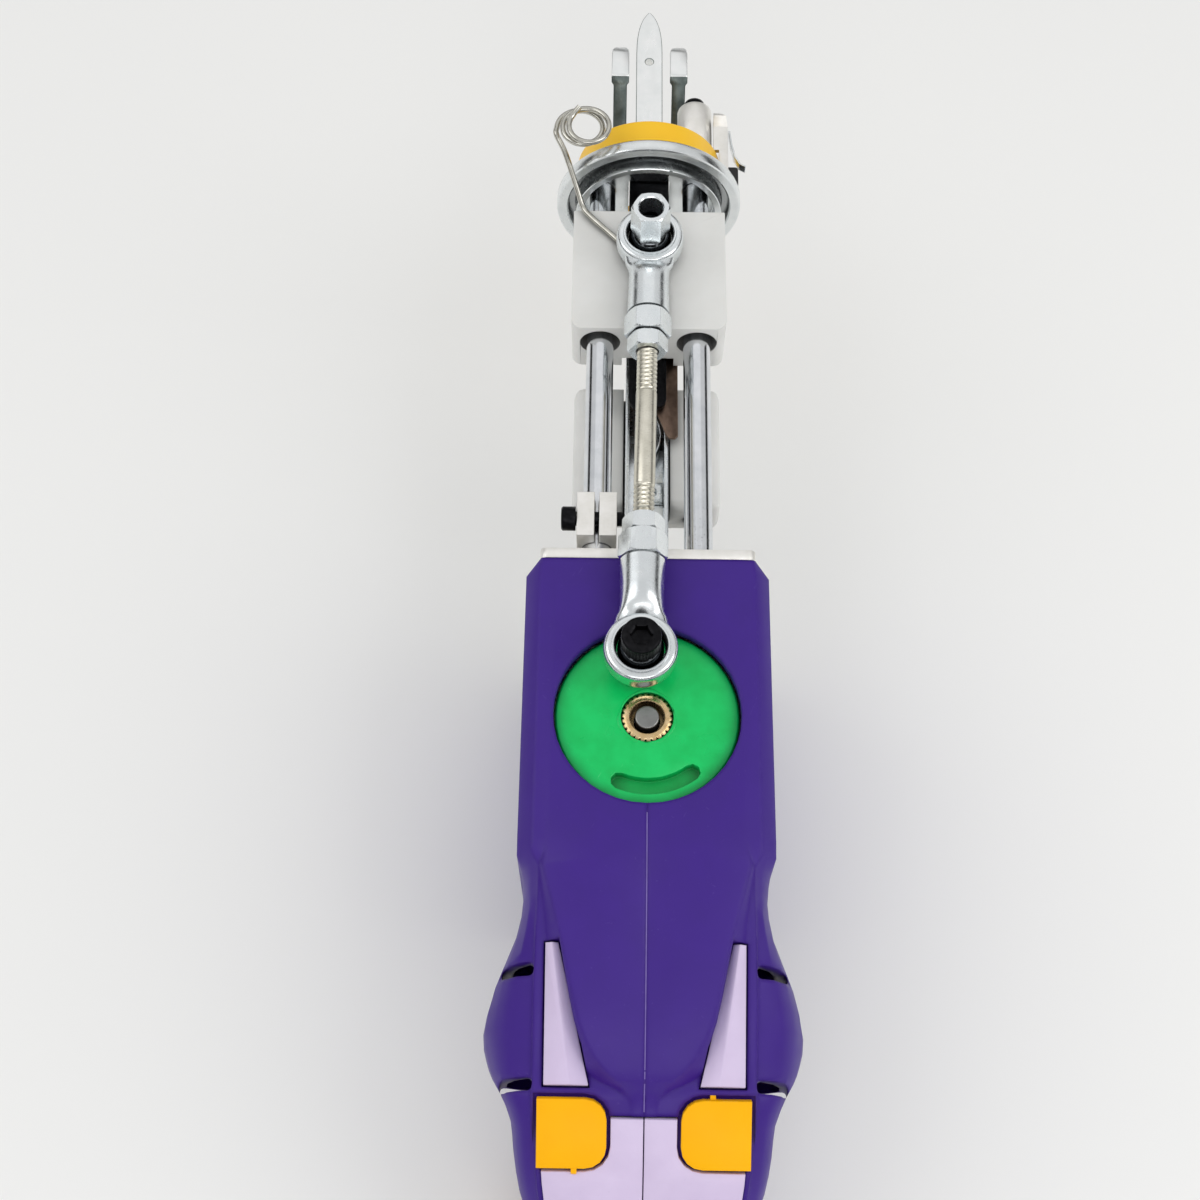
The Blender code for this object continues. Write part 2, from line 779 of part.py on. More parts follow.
def wedge_corners(side, grow):
    front, rear = wedge_reach_shares
    outer = wedge_outer_share * box_half_width + grow
    inner_front = wedge_front_inner_share * box_half_width - grow
    inner_rear = wedge_rear_inner_share * box_half_width - grow
    slack = grow / tail_length
    corners = [(front - slack, outer), (front - slack, inner_front), (rear + slack, inner_rear),
               (rear + slack, outer)]
    return [(share, side * x) for share, x in corners]


def wedge_mesh(name, side, grow, low, high, ridge):
    """A wedge that follows the sloping shelf, with one ridge along it."""
    shape = bmesh.new()
    corners = wedge_corners(side, grow)
    bottom = [shape.verts.new(shelf_point(share, x, -low)) for share, x in corners]
    top = [shape.verts.new(shelf_point(share, x, high)) for share, x in corners]
    front_ridge = shape.verts.new(shelf_point(corners[0][0], (corners[0][1] + corners[1][1]) / 2, high + ridge / 2))
    rear_ridge = shape.verts.new(shelf_point(corners[2][0] - grow, corners[2][1] * 1.3, high + ridge))
    shape.faces.new(bottom)
    for k in range(4):
        n = (k + 1) % 4
        if k == 0:
            shape.faces.new((bottom[0], bottom[1], top[1], front_ridge, top[0]))
        elif k == 2:
            shape.faces.new((bottom[2], bottom[3], top[3], rear_ridge, top[2]))
        else:
            shape.faces.new((bottom[k], bottom[n], top[n], top[k]))
    shape.faces.new((top[0], front_ridge, rear_ridge, top[3]))
    shape.faces.new((top[1], top[2], rear_ridge, front_ridge))
    bmesh.ops.triangulate(shape, faces=shape.faces)
    return finish_mesh(name, shape)


def wedge_inserts(halves):
    for name, half, side in (("wedge_insert_left", halves[0], -1), ("wedge_insert_right", halves[1], 1)):
        mesh = wedge_mesh(name, side, 0, trim_depth - fit_gap, trim_proud, wedge_ridge_rise)
        add_object(name, "lavender_abs", mesh, (0, 0, 0))
        pocket = wedge_mesh(name + "_pocket", side, fit_gap * 3, trim_depth + fit_gap, edge_chamfer, edge_chamfer)
        cut_all([half], add_object(name + "_pocket", "black_rubber", pocket, (0, 0, 0)))


def tab_outline(side, grow):
    """A square with two rounded inner corners, drawn about the tab's own middle."""
    half_w, half_l = tab_width / 2 + grow, tab_length / 2 + grow
    radius = tab_corner_radius + grow
    points = [(half_w, -half_l), (half_w, half_l)]
    for centre_y, start in ((half_l - radius, 1), (-half_l + radius, 2)):
        for k in range(5):
            angle = (start + k / 4) * math.pi / 2
            points.append((-half_w + radius + radius * math.cos(angle), centre_y + radius * math.sin(angle)))
    return [(side * x, y) for x, y in points]


def tab_prism(name, finish, side, grow, low, high):
    place = (side * (tab_inner_place + tab_width / 2), -box_rear - tab_reach_share * tail_length,
             tab_height_share * box_height)
    item = prism(name, finish, tab_outline(side, grow), low, high, "Z", place)
    item.rotation_euler = (tab_slope, 0, 0)
    return item


def corner_tabs(halves):
    for name, half, side in (("corner_tab_left", halves[0], -1), ("corner_tab_right", halves[1], 1)):
        tab_prism(name, "yellow_abs", side, 0, trim_proud - tab_thickness, trim_proud)
        pocket = tab_prism(name + "_pocket", "black_rubber", side, tab_black_gap - fit_gap,
                           trim_proud - tab_thickness - fit_gap, edge_chamfer)
        cut_all([half], pocket)


def panel_mesh(name, inner_x, grow, low, high):
    """One half of the curved panel down the back of the grip, following the housing's outer line."""
    rings = []
    span = panel_end_share - panel_start_share
    rows = tail_rows()
    for k in range(panel_steps + 1):
        start = panel_start_share - grow / tail_length
        reach = start + (span + 2 * grow / tail_length) * k / panel_steps
        row = panel_row(rows, k / panel_steps, grow)
        outward = panel_normal(rows, k / panel_steps)
        outer_x = row[5] - panel_edge_margin + grow
        base = Vector((0, row[0], row[1]))
        rings.append([base + Vector((x, 0, 0)) + outward * lift
                      for x, lift in ((inner_x, -low), (outer_x, -low), (outer_x, high), (inner_x, high))])
    return loft_mesh(name, rings)


def panel_row(rows, share, grow):
    """The slice at a share of the panel's length, measured by height along the grip."""
    top_z = tail_row_at(panel_start_share)[1] + grow
    low_z = tail_row_at(panel_end_share)[1] - grow
    z = top_z + (low_z - top_z) * share
    for before, after in zip(rows, rows[1:]):
        if after[1] <= z <= before[1]:
            return before.lerp(after, (z - before[1]) / (after[1] - before[1]))
    return rows[-1]


def panel_normal(rows, share):
    nearby = 0.02
    ahead = panel_row(rows, min(share + nearby, 1), 0)
    behind = panel_row(rows, max(share - nearby, 0), 0)
    along = Vector((0, ahead[0] - behind[0], ahead[1] - behind[1])).normalized()
    return Vector((0, along.z, -along.y))


def rear_panels(halves):
    for name, half, side in (("rear_panel_left", halves[0], -1), ("rear_panel_right", halves[1], 1)):
        mesh = panel_mesh(name, seam_gap / 2, 0, trim_depth - fit_gap, trim_proud)
        pocket = panel_mesh(name + "_pocket", -cut_overrun, fit_gap, trim_depth, edge_chamfer)
        for data in (mesh, pocket):
            if side < 0:
                data.transform(Matrix.Scale(-1, 4, (1, 0, 0)))
                data.flip_normals()
        panel = add_object(name, "lavender_abs", mesh, (0, 0, 0))
        notch = tab_prism(name + "_notch", "black_rubber", side, tab_black_gap, -edge_chamfer * 2, edge_chamfer * 2)
        cut_all([panel], notch)
        cut_all([half], add_object(name + "_pocket", "black_rubber", pocket, (0, 0, 0)))


# Motor, crank wheel and hub


def motor_pieces(wheel_body):
    plate_half = box_half_width - housing_wall - fit_gap
    plate_low = motor_plate_top - motor_plate_thickness
    rear = -box_rear + housing_wall + fit_gap
    front = box_front - edge_chamfer - fit_gap
    plate = prism("motor_plate", "aluminium", rounded_rectangle(-plate_half, plate_half, rear, front, edge_chamfer),
                  plate_low, motor_plate_top, "Z")
    cut_bore([plate], motor_boss_radius + fit_gap, plate_low - cut_overrun, motor_plate_top + cut_overrun, (0, 0, 0))
    can_top = plate_low - fit_gap
    boss_top = motor_plate_top - fit_gap
    neck = motor_radius * 0.82
    motor = turned("motor", "zinc_steel", [
        (0, motor_bottom - edge_chamfer), (motor_boss_radius, motor_bottom - edge_chamfer),
        (motor_boss_radius, motor_bottom), (neck, motor_bottom), (motor_radius, motor_bottom + edge_chamfer),
        (motor_radius, can_top - edge_chamfer / 2), (motor_radius - edge_chamfer / 2, can_top),
        (motor_boss_radius, can_top), (motor_boss_radius, boss_top), (0, boss_top)], (0, 0, 0), sides=32)
    shaft_seat = boss_top - motor_plate_thickness
    cut_bore([motor], shaft_radius + fit_gap, shaft_seat, boss_top + cut_overrun, (0, 0, 0))
    tip = wheel_top - hub_sink
    turned("motor_shaft", "ground_steel", [
        (0, shaft_seat + fit_gap), (shaft_radius, shaft_seat + fit_gap), (shaft_radius, tip - hub_sink * 2),
        (shaft_radius - hub_sink * 2, tip), (0, tip)], (0, 0, 0), body=wheel_body)


def hub_outline():
    points = []
    steps = hub_knurl_count * 2
    for k in range(steps):
        radius = hub_radius - (hub_knurl_depth if k % 2 else 0)
        angle = 2 * math.pi * k / steps
        points.append((radius * math.cos(angle), radius * math.sin(angle)))
    return points


def arc_slot(radius, width, half_angle, middle):
    """The outline of a round-ended slot that follows an arc."""
    points = []
    steps = 10
    for side, order in ((1, range(steps + 1)), (-1, range(steps, -1, -1))):
        for k in order:
            angle = middle + half_angle * (2 * k / steps - 1)
            reach = radius + side * width / 2
            points.append((reach * math.cos(angle), reach * math.sin(angle)))
        end_angle = middle + side * half_angle
        centre = (radius * math.cos(end_angle), radius * math.sin(end_angle))
        for k in range(1, 4):
            turn = end_angle + side * 0 + math.pi * k / 4 + (0 if side > 0 else math.pi)
            points.append((centre[0] + width / 2 * math.cos(turn), centre[1] + width / 2 * math.sin(turn)))
    return points


def wheel_pieces(wheel_body):
    low = wheel_top - wheel_thickness
    bore = hub_radius + fit_gap
    c = wheel_edge_chamfer
    wheel = turned("crank_wheel", "green_abs", [
        (bore, low), (wheel_radius - c, low), (wheel_radius, low + c), (wheel_radius, wheel_top - c),
        (wheel_radius - c, wheel_top), (bore, wheel_top)], (0, 0, 0), sides=48, hollow=True, body=wheel_body)
    middle = math.atan2(-pin_y, -pin_x)
    slot = arc_slot(relief_radius, relief_width, relief_half_angle, middle)
    cut_prism([wheel], slot, wheel_top - relief_depth, wheel_top + cut_overrun, "Z")
    top = wheel_top - hub_sink
    hub = prism("hub_insert", "brass", hub_outline(), low + hub_sink, top, "Z", body=wheel_body)
    cut_bore([hub], shaft_radius + fit_gap, low - cut_overrun, wheel_top + cut_overrun, (0, 0, 0))
    cut_bore([hub], hub_bore_radius, top - hub_counterbore, wheel_top + cut_overrun, (0, 0, 0))


# Connecting rod


def rod_end(name, eye, reach, body):
    """A rod end: a spherical eye, shoulders, a flat-sided shank, a collar and a threaded bore, along Y."""
    half = eye_head_thickness / 2
    c = eye_head_thickness / 8
    ring = eye_race_radius + eye_race_ring
    top = half + eye_race_raise
    head = turned(name, "zinc_steel", [
        (0, -top), (ring, -top), (ring, -half), (eye_head_radius - c, -half), (eye_head_radius, -half + 2 * c),
        (eye_head_radius, half - 2 * c), (eye_head_radius - c, half), (ring, half), (ring, top), (0, top)],
        eye, sides=32, body=body)
    turn = 0 if reach > 0 else math.pi
    w, h, e = eye_shank_half_width, eye_shank_half_height, eye_shank_chamfer
    edge_x, edge_y = eye_head_radius * math.cos(eye_shoulder_angle), eye_head_radius * math.sin(eye_shoulder_angle)
    neck = w - c / 4
    shoulder_end = edge_y + (edge_x - neck) / math.tan(eye_shoulder_angle)
    shoulders = prism(name + "_shoulders", "zinc_steel", [
        (edge_x - c / 2, edge_y), (neck, shoulder_end), (-neck, shoulder_end), (c / 2 - edge_x, edge_y), (0, c)],
        c / 2 - half, half - c / 2, "Z", eye, body)
    shank = prism(name + "_shank", "zinc_steel", [
        (w, e - h), (w, h - e), (w - e, h), (e - w, h), (-w, h - e), (-w, e - h), (e - w, -h), (w - e, -h)],
        shoulder_end - c * 1.5, eye_collar_start + c * 3, "Y", eye, body)
    collar = turned(name + "_collar", "zinc_steel", [
        (0, eye_collar_start), (eye_collar_radius - c / 2, eye_collar_start),
        (eye_collar_radius, eye_collar_start + c / 2), (eye_collar_radius, eye_collar_end - c),
        (eye_collar_radius - c, eye_collar_end), (0, eye_collar_end)], eye, "ahead", sides=32, body=body)
    race = turned(name + "_race", "zinc_steel", [
        (0, -top - c), (eye_race_radius, -top - c), (eye_race_radius, -half), (eye_ball_radius + fit_gap * 2, 0),
        (eye_race_radius, half), (eye_race_radius, top + c), (0, top + c)], eye, sides=32, body=body)
    start = eye_collar_end - stud_inside_length - fit_gap
    bore = turned(name + "_bore", "zinc_steel", [
        (0, start), (stud_radius + fit_gap, start), (stud_radius + fit_gap, eye_collar_end + cut_overrun),
        (0, eye_collar_end + cut_overrun)], eye, "ahead", sides=12, body=body)
    for tool in (shoulders, shank):
        tool.rotation_euler = (0, 0, rod_angle + turn)
    for tool in (collar, bore):
        tool.rotation_euler = (-math.pi / 2, 0, rod_angle + turn)
    for tool in (shoulders, shank, collar):
        combine(head, tool, "UNION")
    combine(head, race, "DIFFERENCE")
    combine(head, bore, "DIFFERENCE")
    return head


def ball(name, eye, body):
    """The pierced ball: flat faces above and below, with a bore for the stud."""
    half = eye_ball_width / 2
    flat = eye_ball_radius * 0.72
    profile = [(eye_bore_radius + fit_gap, -half), (flat, -half)]
    for k in range(1, 6):
        angle = math.radians(-36 + 12 * k)
        profile.append((eye_ball_radius * math.cos(angle), eye_ball_radius * math.sin(angle)))
    profile += [(flat, half), (eye_bore_radius + fit_gap, half)]
    return turned(name, "ground_steel", profile, eye, hollow=True, body=body)


def conrod_pieces(conrod_body, slider_body):
    rear_eye = Vector((pin_x, pin_y, eye_height))
    front_eye = Vector((0, stud_y, eye_height))
    along = (front_eye - rear_eye).normalized()
    rod_end("rod_end_rear", rear_eye, 1, conrod_body)
    rod_end("rod_end_front", front_eye, -1, conrod_body)
    ball("rear_ball", rear_eye, conrod_body)
    ball("front_ball", front_eye, slider_body)
    heading = (-math.pi / 2, 0, rod_angle)
    start = eye_collar_end - stud_inside_length
    stud_length = conrod_length - 2 * start
    c = stud_radius / 8
    stud = turned("conrod_stud", "stud_steel", [
        (0, 0), (stud_radius - c, 0), (stud_radius, c), (stud_radius, stud_length - c),
        (stud_radius - c, stud_length), (0, stud_length)], rear_eye + along * start, "ahead", 16,
        body=conrod_body)
    stud.rotation_euler = heading
    nut_low = eye_collar_end + fit_gap
    for name, place in (("jam_nut_rear", nut_low), ("jam_nut_front", conrod_length - nut_low - jam_nut_thickness)):
        nut = prism(name, "zinc_steel", hexagon(jam_nut_flats), 0, jam_nut_thickness, "Z",
                    rear_eye + along * place, conrod_body)
        nut.rotation_euler = heading
        bore = cut_bore([nut], stud_radius + fit_gap, -cut_overrun, jam_nut_thickness + cut_overrun,
                        rear_eye + along * place, sides=16)
        bore.rotation_euler = heading
        round_edges(nut, c * 1.5, 1)
    crank_fasteners(rear_eye, conrod_body)


def crank_fasteners(rear_eye, conrod_body):
    spacer_low = wheel_top + fit_gap
    spacer_top = eye_height - eye_ball_width / 2 - fit_gap
    place = (rear_eye.x, rear_eye.y, 0)
    spacer = prism("crank_spacer", "zinc_steel", hexagon(spacer_flats, math.pi / 2), spacer_low, spacer_top, "Z",
                   place, conrod_body)
    cut_bore([spacer], stud_radius + fit_gap, spacer_low - cut_overrun, spacer_top + cut_overrun, place)
    head_low = ball_top + fit_gap
    head_top = head_low + crank_screw_head_height
    c = crank_screw_head_radius / 10
    screw = turned("crank_screw", "black_oxide", [
        (0, spacer_low + fit_gap), (stud_radius, spacer_low + fit_gap), (stud_radius, head_low),
        (crank_screw_head_radius, head_low), (crank_screw_head_radius, head_top - c),
        (crank_screw_head_radius - c, head_top), (0, head_top)], place, body=conrod_body)
    cut_prism([screw], hexagon(crank_screw_socket_flats), head_top - crank_screw_socket_depth,
              head_top + cut_overrun, "Z", place)


# Needle slide


def slider_pieces(slider_body):
    low = slider_top - slider_height
    outline = rectangle(-slider_half_width, slider_half_width, low, slider_top)
    block = prism("slider_block", "white_nylon", outline, slider_rear, slider_front, "Y", body=slider_body)
    round_edges(block, slider_edge_radius, 3)
    for side in (-1, 1):
        place = (side * rod_half_spacing, 0, rod_height)
        cut_bore([block], rod_radius + slide_gap, slider_rear - cut_overrun, slider_front + cut_overrun, place,
                 "ahead")
        cut_bore([block], slider_counterbore_radius, slider_rear - cut_overrun,
                 slider_rear + slider_counterbore_depth, place, "ahead")
    cut_bore([block], stud_radius + fit_gap, slider_top - slider_stud_depth, slider_top + cut_overrun,
             (0, stud_y, 0))
    groove = rectangle(-slider_groove_half_width, slider_groove_half_width, low - cut_overrun,
                       low + slider_groove_depth)
    cut_prism([block], groove, slider_rear - cut_overrun, slider_front + cut_overrun, "Y")
    stud_low = slider_top - slider_stud_depth + fit_gap
    nut_low = ball_top + fit_gap
    stud_top = nut_low + stud_nut_length * 0.55
    turned("slider_stud", "stud_steel", [(0, stud_low), (stud_radius, stud_low), (stud_radius, stud_top),
                                         (0, stud_top)], (0, stud_y, 0), sides=16, body=slider_body)
    nut = prism("stud_nut", "zinc_steel", hexagon(stud_nut_flats), nut_low, nut_low + stud_nut_length, "Z",
                (0, stud_y, 0), slider_body)
    cut_bore([nut], stud_nut_bore_radius, nut_low - cut_overrun, nut_low + stud_nut_length + cut_overrun,
             (0, stud_y, 0))
    round_edges(nut, stud_radius / 8, 1)
    needle_pieces(slider_body)
    drag_link(slider_body)


def needle_pieces(slider_body):
    start = slider_front + fit_gap
    needle_top = eye_height - needle_drop + needle_height / 2
    centre = needle_top - needle_height / 2
    holder_outline = rectangle(-holder_half_width, holder_half_width, centre - holder_height / 2,
                               centre + holder_height / 2)
    holder = prism("needle_holder", "black_oxide", holder_outline, start, start + holder_length, "Y",
                   body=slider_body)
    grip = start + holder_length - needle_grip_length
    slot = rectangle(-needle_half_width - fit_gap, needle_half_width + fit_gap,
                     needle_top - needle_height - fit_gap, needle_top + fit_gap)
    cut_prism([holder], slot, grip - fit_gap, start + holder_length + cut_overrun, "Y")
    tip = grip + needle_length
    right = [(half, tip - back) for half, back in needle_point_sized()]
    left = [(-x, y) for x, y in right[-2::-1]]
    outline = [(-needle_half_width, grip), (needle_half_width, grip)] + right + left
    needle = prism("needle", "zinc_steel", outline, needle_top - needle_height, needle_top, "Z", body=slider_body)
    round_edges(needle, needle_height / 6, 1)
    channel_end = tip - needle_hole_from_tip + needle_hole_radius * 2
    channel = rectangle(-needle_channel_half_width, needle_channel_half_width, grip - cut_overrun, channel_end)
    cut_prism([needle], channel, needle_top - needle_height - cut_overrun,
              needle_top - needle_height + needle_channel_depth, "Z")
    cut_bore([needle], needle_hole_radius, needle_top - needle_height, needle_top + cut_overrun,
             (0, tip - needle_hole_from_tip, 0), sides=12)


def needle_point_sized():
    """The point's half widths, and how far back from the tip each lies."""
    point_length = needle_half_width * needle_point_width_share
    return [(needle_half_width * width, back * point_length) for width, back in needle_point_shares]


def drag_link(slider_body):
    """The slotted bar that draws the cutter carriage along after the slide has moved."""
    top = slider_top - slider_height + slider_groove_depth - fit_gap
    rear = slider_rear - link_length / 3
    outline = rounded_rectangle(-link_width / 2, link_width / 2, rear, rear + link_length, link_width / 4)
    link = prism("drag_link", "black_oxide", outline, top - link_thickness, top, "Z", body=slider_body)
    slot = rounded_rectangle(-link_slot_half_width, link_slot_half_width, rear + link_width / 2,
                             slider_rear - link_width / 2, link_slot_half_width * 0.9)
    cut_prism([link], slot, top - link_thickness - cut_overrun, top + cut_overrun, "Z")


def yarn_guide_points():
    """A loop round the stud, a bent leg, a coil whose turns drift to the right, and a short tail."""
    loop_height = slider_top + fit_gap + wire_radius
    points = []
    for k in range(12):
        angle = wire_loop_start - wire_loop_step * k
        points.append(Vector((wire_loop_radius * math.cos(angle), stud_y + wire_loop_radius * math.sin(angle),
                              loop_height)))
    drift = Vector((*wire_coil_drift, wire_coil_pitch))
    coil = Vector((-wire_coil_right, stud_y + wire_coil_ahead, slider_top + wire_coil_rise))
    coil -= drift * wire_coil_turns / 2
    knee = Vector((-wire_knee_right, stud_y + wire_knee_ahead, slider_top + wire_knee_rise))
    join = coil + Vector((-wire_coil_radius, 0, 0))
    leg_start = points[-1]
    legs = smooth_curve([leg_start, leg_start.lerp(knee, 0.5), leg_start.lerp(knee, 0.9),
                         knee.lerp(join, 0.1), knee.lerp(join, 0.55), join], 3)
    points += legs[1:-1]
    steps = round((wire_coil_turns + wire_coil_overrun) * wire_points_per_turn)
    for k in range(steps + 1):
        turn = k / wire_points_per_turn
        angle = math.pi - 2 * math.pi * turn
        points.append(coil + drift * turn + wire_coil_radius * Vector((math.cos(angle), math.sin(angle), 0)))
    points.append(points[-1] + Vector(wire_tail))
    return points


def least_self_gap(points, radius):
    """The least clear distance between stretches of the wire that aren't neighbours along it."""
    lengths = [0.0]
    for before, after in zip(points, points[1:]):
        lengths.append(lengths[-1] + (after - before).length)
    least = lengths[-1]
    for k, first in enumerate(points):
        for n in range(k + 1, len(points)):
            if lengths[n] - lengths[k] > 8 * radius:
                least = min(least, (points[n] - first).length - 2 * radius)
    return least


def yarn_guide(slider_body):
    points = yarn_guide_points()
    tube("yarn_guide", "zinc_steel", points, wire_radius, slider_body)
    print("yarn_guide least gap between turns, mm:", round(least_self_gap(points, wire_radius) * 1000, 2))


# Foot: rods, ring, collar, fork and the pieces at the right


def guide_rods(foot_body):
    c = rod_radius / 10
    ends = {"guide_rod_left": ring_front_y - fit_gap, "guide_rod_right": ring_front_y + boss_start - fit_gap}
    for name, side in (("guide_rod_left", -1), ("guide_rod_right", 1)):
        low, high = rod_inner_end, ends[name]
        turned(name, "ground_steel", [(0, low), (rod_radius - c, low), (rod_radius, low + c),
                                      (rod_radius, high - c), (rod_radius - c, high), (0, high)],
               (side * rod_half_spacing, 0, rod_height), "ahead", body=foot_body)


def foot_ring(foot_body):
    front, rear = 0, -ring_depth
    groove = front - ring_web
    ring = turned("foot_ring", "zinc_steel", [
        (0, groove), (ring_rim_inner_radius, groove), (ring_rim_inner_radius, front - ring_rim_depth),
        (ring_rim_outer_radius, front - ring_rim_depth), (ring_rim_outer_radius, groove),
        (ring_flange_inner_radius, groove), (ring_flange_inner_radius, rear), (ring_outer_radius, rear),
        (ring_outer_radius, front), (0, front)],
        (0, ring_front_y, ring_height), "ahead", sides=48, body=foot_body)
    window_low = ring_height - ring_window_drop
    window = rectangle(-ring_window_half_width, ring_window_half_width, window_low,
                       window_low + ring_window_height)
    cut_prism([ring], window, ring_front_y - ring_web - cut_overrun, ring_front_y + cut_overrun, "Y")
    for side in (-1, 1):
        cut_bore([ring], rod_radius + fit_gap, ring_front_y - ring_web - cut_overrun, ring_front_y + cut_overrun,
                 (side * rod_half_spacing, 0, rod_height), "ahead")
    return ring


def foot_collar(foot_body):
    inner = collar_radius - collar_wall
    start = fit_gap
    c = collar_wall / 4
    turned("foot_collar", "orange_abs", [
        (inner, start), (collar_radius, start), (collar_radius, collar_length - c),
        (collar_radius - c, collar_length), (inner, collar_length)],
        (0, ring_front_y, ring_height), "ahead", sides=48, hollow=True, body=foot_body)


def foot_fork(foot_body):
    """One stamping: a base strip below the needle and two arms that rise and bend over at their tips."""
    base_top = ring_height - fork_base_drop + fork_base_height
    start = ring_front_y + fit_gap
    outline = rectangle(-fork_base_half_width, fork_base_half_width, base_top - fork_base_height, base_top)
    fork = prism("foot_fork", "zinc_steel", outline, start, start + fork_thickness, "Y", body=foot_body)
    arm_start = start + fork_thickness / 3
    arm_low = base_top - fork_thickness * 1.5
    stations = [(arm_start + y * (fork_reach - fork_thickness / 3), arm_low + z * fork_rise,
                 (fork_arm_width + step * (fork_tip_width - fork_arm_width)) / 2)
                for y, z, step in fork_arm_shares]
    for side in (-1, 1):
        combine(fork, ribbon("fork_arm", "zinc_steel", stations, fork_thickness, side * fork_arm_spacing,
                             foot_body), "UNION")


def boss_pieces(foot_body):
    start = ring_front_y + boss_start
    place = (rod_half_spacing, start, rod_height)
    turned("rod_boss", "aluminium", [
        (0, 0), (boss_radius, 0), (boss_radius, boss_length - boss_dome),
        (boss_radius * 0.97, boss_length - boss_dome * 0.65), (boss_radius * 0.88, boss_length - boss_dome * 0.3),
        (boss_radius * 0.72, boss_length), (0, boss_length)],
        place, "ahead", body=foot_body)
    low = boss_length + fit_gap
    c = boss_cap_radius / 4
    turned("boss_cap", "black_oxide", [
        (0, low), (boss_cap_radius, low), (boss_cap_radius, low + boss_cap_length - c),
        (boss_cap_radius - c, low + boss_cap_length), (0, low + boss_cap_length)],
        place, "ahead", body=foot_body)


def bracket_pieces(foot_body):
    start = ring_front_y + fit_gap
    far = start + bracket_reach
    low = rod_height + bracket_thickness
    high = low + bracket_thickness
    inner, outer, width, curve = bracket_inner, bracket_outer, bracket_width, bracket_curve
    arc = [(outer - curve + curve * math.sin(a), far - curve + curve * math.cos(a))
           for a in (0, math.pi / 6, math.pi / 3, math.pi / 2)]
    arm = outer - bracket_arm_width
    past_collar = ring_front_y + collar_length + fit_gap
    outline = [(arm, start), (arm, past_collar), (outer - width, past_collar), (outer - width, far - width),
               (inner, far - width * 0.9), (inner, far - width * 0.3)] + arc + [(outer, start)]
    bracket = prism("side_bracket", "aluminium", outline, low, high, "Z", body=foot_body)
    lip = bracket_lip
    line = [(far - lip - bracket_thickness, low), (far - lip, low), (far, low + lip),
            (far - bracket_thickness, low + lip + bracket_thickness / 2)]
    lip_piece = prism("bracket_lip", "aluminium", line, inner, outer, "X", body=foot_body)
    corner = [(outer - curve, far + lip)] + [(x, y) for x, y in arc] + [(outer + lip, far - curve), (outer + lip, far + lip)]
    cut_prism([lip_piece], corner, low - lip, high + 2 * lip, "Z")
    combine(bracket, lip_piece, "UNION")
    leaf_start = Vector((outer + fit_gap, far - curve - width * 0.4))
    line = [leaf_start, leaf_start + Vector((leaf_bow * 0.12, -leaf_length * 0.35)),
            leaf_start + Vector((leaf_bow * 0.3, -leaf_length * 0.7)),
            leaf_start + Vector((leaf_bow * 0.62, -leaf_length * 0.92)),
            leaf_start + Vector((leaf_bow, -leaf_length))]
    prism("side_leaf", "zinc_steel", strip_outline([tuple(p) for p in line], leaf_thickness),
          high - leaf_height, high, "Z", body=foot_body)
    bumper_left = outer - bumper_width * 0.37
    bumper_top = low - fit_gap
    outline = rounded_rectangle(bumper_left, bumper_left + bumper_width, start, start + bumper_length,
                                bumper_width / 6)
    prism("bumper", "black_rubber", outline, bumper_top - bumper_height, bumper_top, "Z", body=foot_body)


def clamp_pieces(foot_body):
    centre = Vector((-rod_half_spacing, plate_front + clamp_ahead, rod_height))
    half = clamp_width / 2
    screw_rise = rod_radius + clamp_screw_radius + fit_gap * 2
    top = screw_rise + clamp_cover
    outline = rectangle(-half, half, -clamp_drop, top)
    clamp = prism("rod_clamp", "aluminium", outline, 0, clamp_length, "Y", centre, foot_body)
    cut_bore([clamp], rod_radius + fit_gap, -cut_overrun, clamp_length + cut_overrun, centre, "ahead")
    slit = rectangle(-clamp_slit / 2, clamp_slit / 2, 0, top + cut_overrun)
    cut_prism([clamp], slit, -cut_overrun, clamp_length + cut_overrun, "Y", centre)
    screw_place = centre + Vector((0, clamp_length * 0.45, screw_rise))
    cut_bore([clamp], clamp_screw_radius + fit_gap, -half - cut_overrun, half + cut_overrun, screw_place, "right", 12)
    head_end = -half - fit_gap
    c = clamp_head_radius / 8
    screw = turned("clamp_screw", "black_oxide", [
        (0, head_end - clamp_head_length), (clamp_head_radius - c, head_end - clamp_head_length),
        (clamp_head_radius, head_end - clamp_head_length + c), (clamp_head_radius, head_end),
        (clamp_screw_radius, head_end), (clamp_screw_radius, half + clamp_screw_stickout),
        (0, half + clamp_screw_stickout)], screw_place, "right", 16, body=foot_body)
    socket = turned("clamp_socket", "black_oxide", [
        (0, head_end - clamp_head_length - cut_overrun), (clamp_screw_radius * 0.8, head_end - clamp_head_length
        - cut_overrun), (clamp_screw_radius * 0.8, head_end - clamp_head_length / 2),
        (0, head_end - clamp_head_length / 2)], screw_place, "right", hex_sides, body=foot_body)
    combine(screw, socket, "DIFFERENCE")


# Plate, lower rods and the cutter carriage


def front_plate():
    low = plate_edge_margin * 2
    high = box_height - plate_edge_margin / 2
    outline = rounded_rectangle(-plate_half_width, plate_half_width, low, high, edge_chamfer / 2)
    plate = prism("front_plate", "aluminium", outline, plate_rear, plate_front, "Y")
    for side in (-1, 1):
        for radius, height in ((rod_radius + slide_gap, rod_height), (lower_rod_radius + fit_gap, lower_rod_height)):
            cut_bore([plate], radius, plate_rear - cut_overrun, plate_front + cut_overrun,
                     (side * rod_half_spacing, 0, height), "ahead")


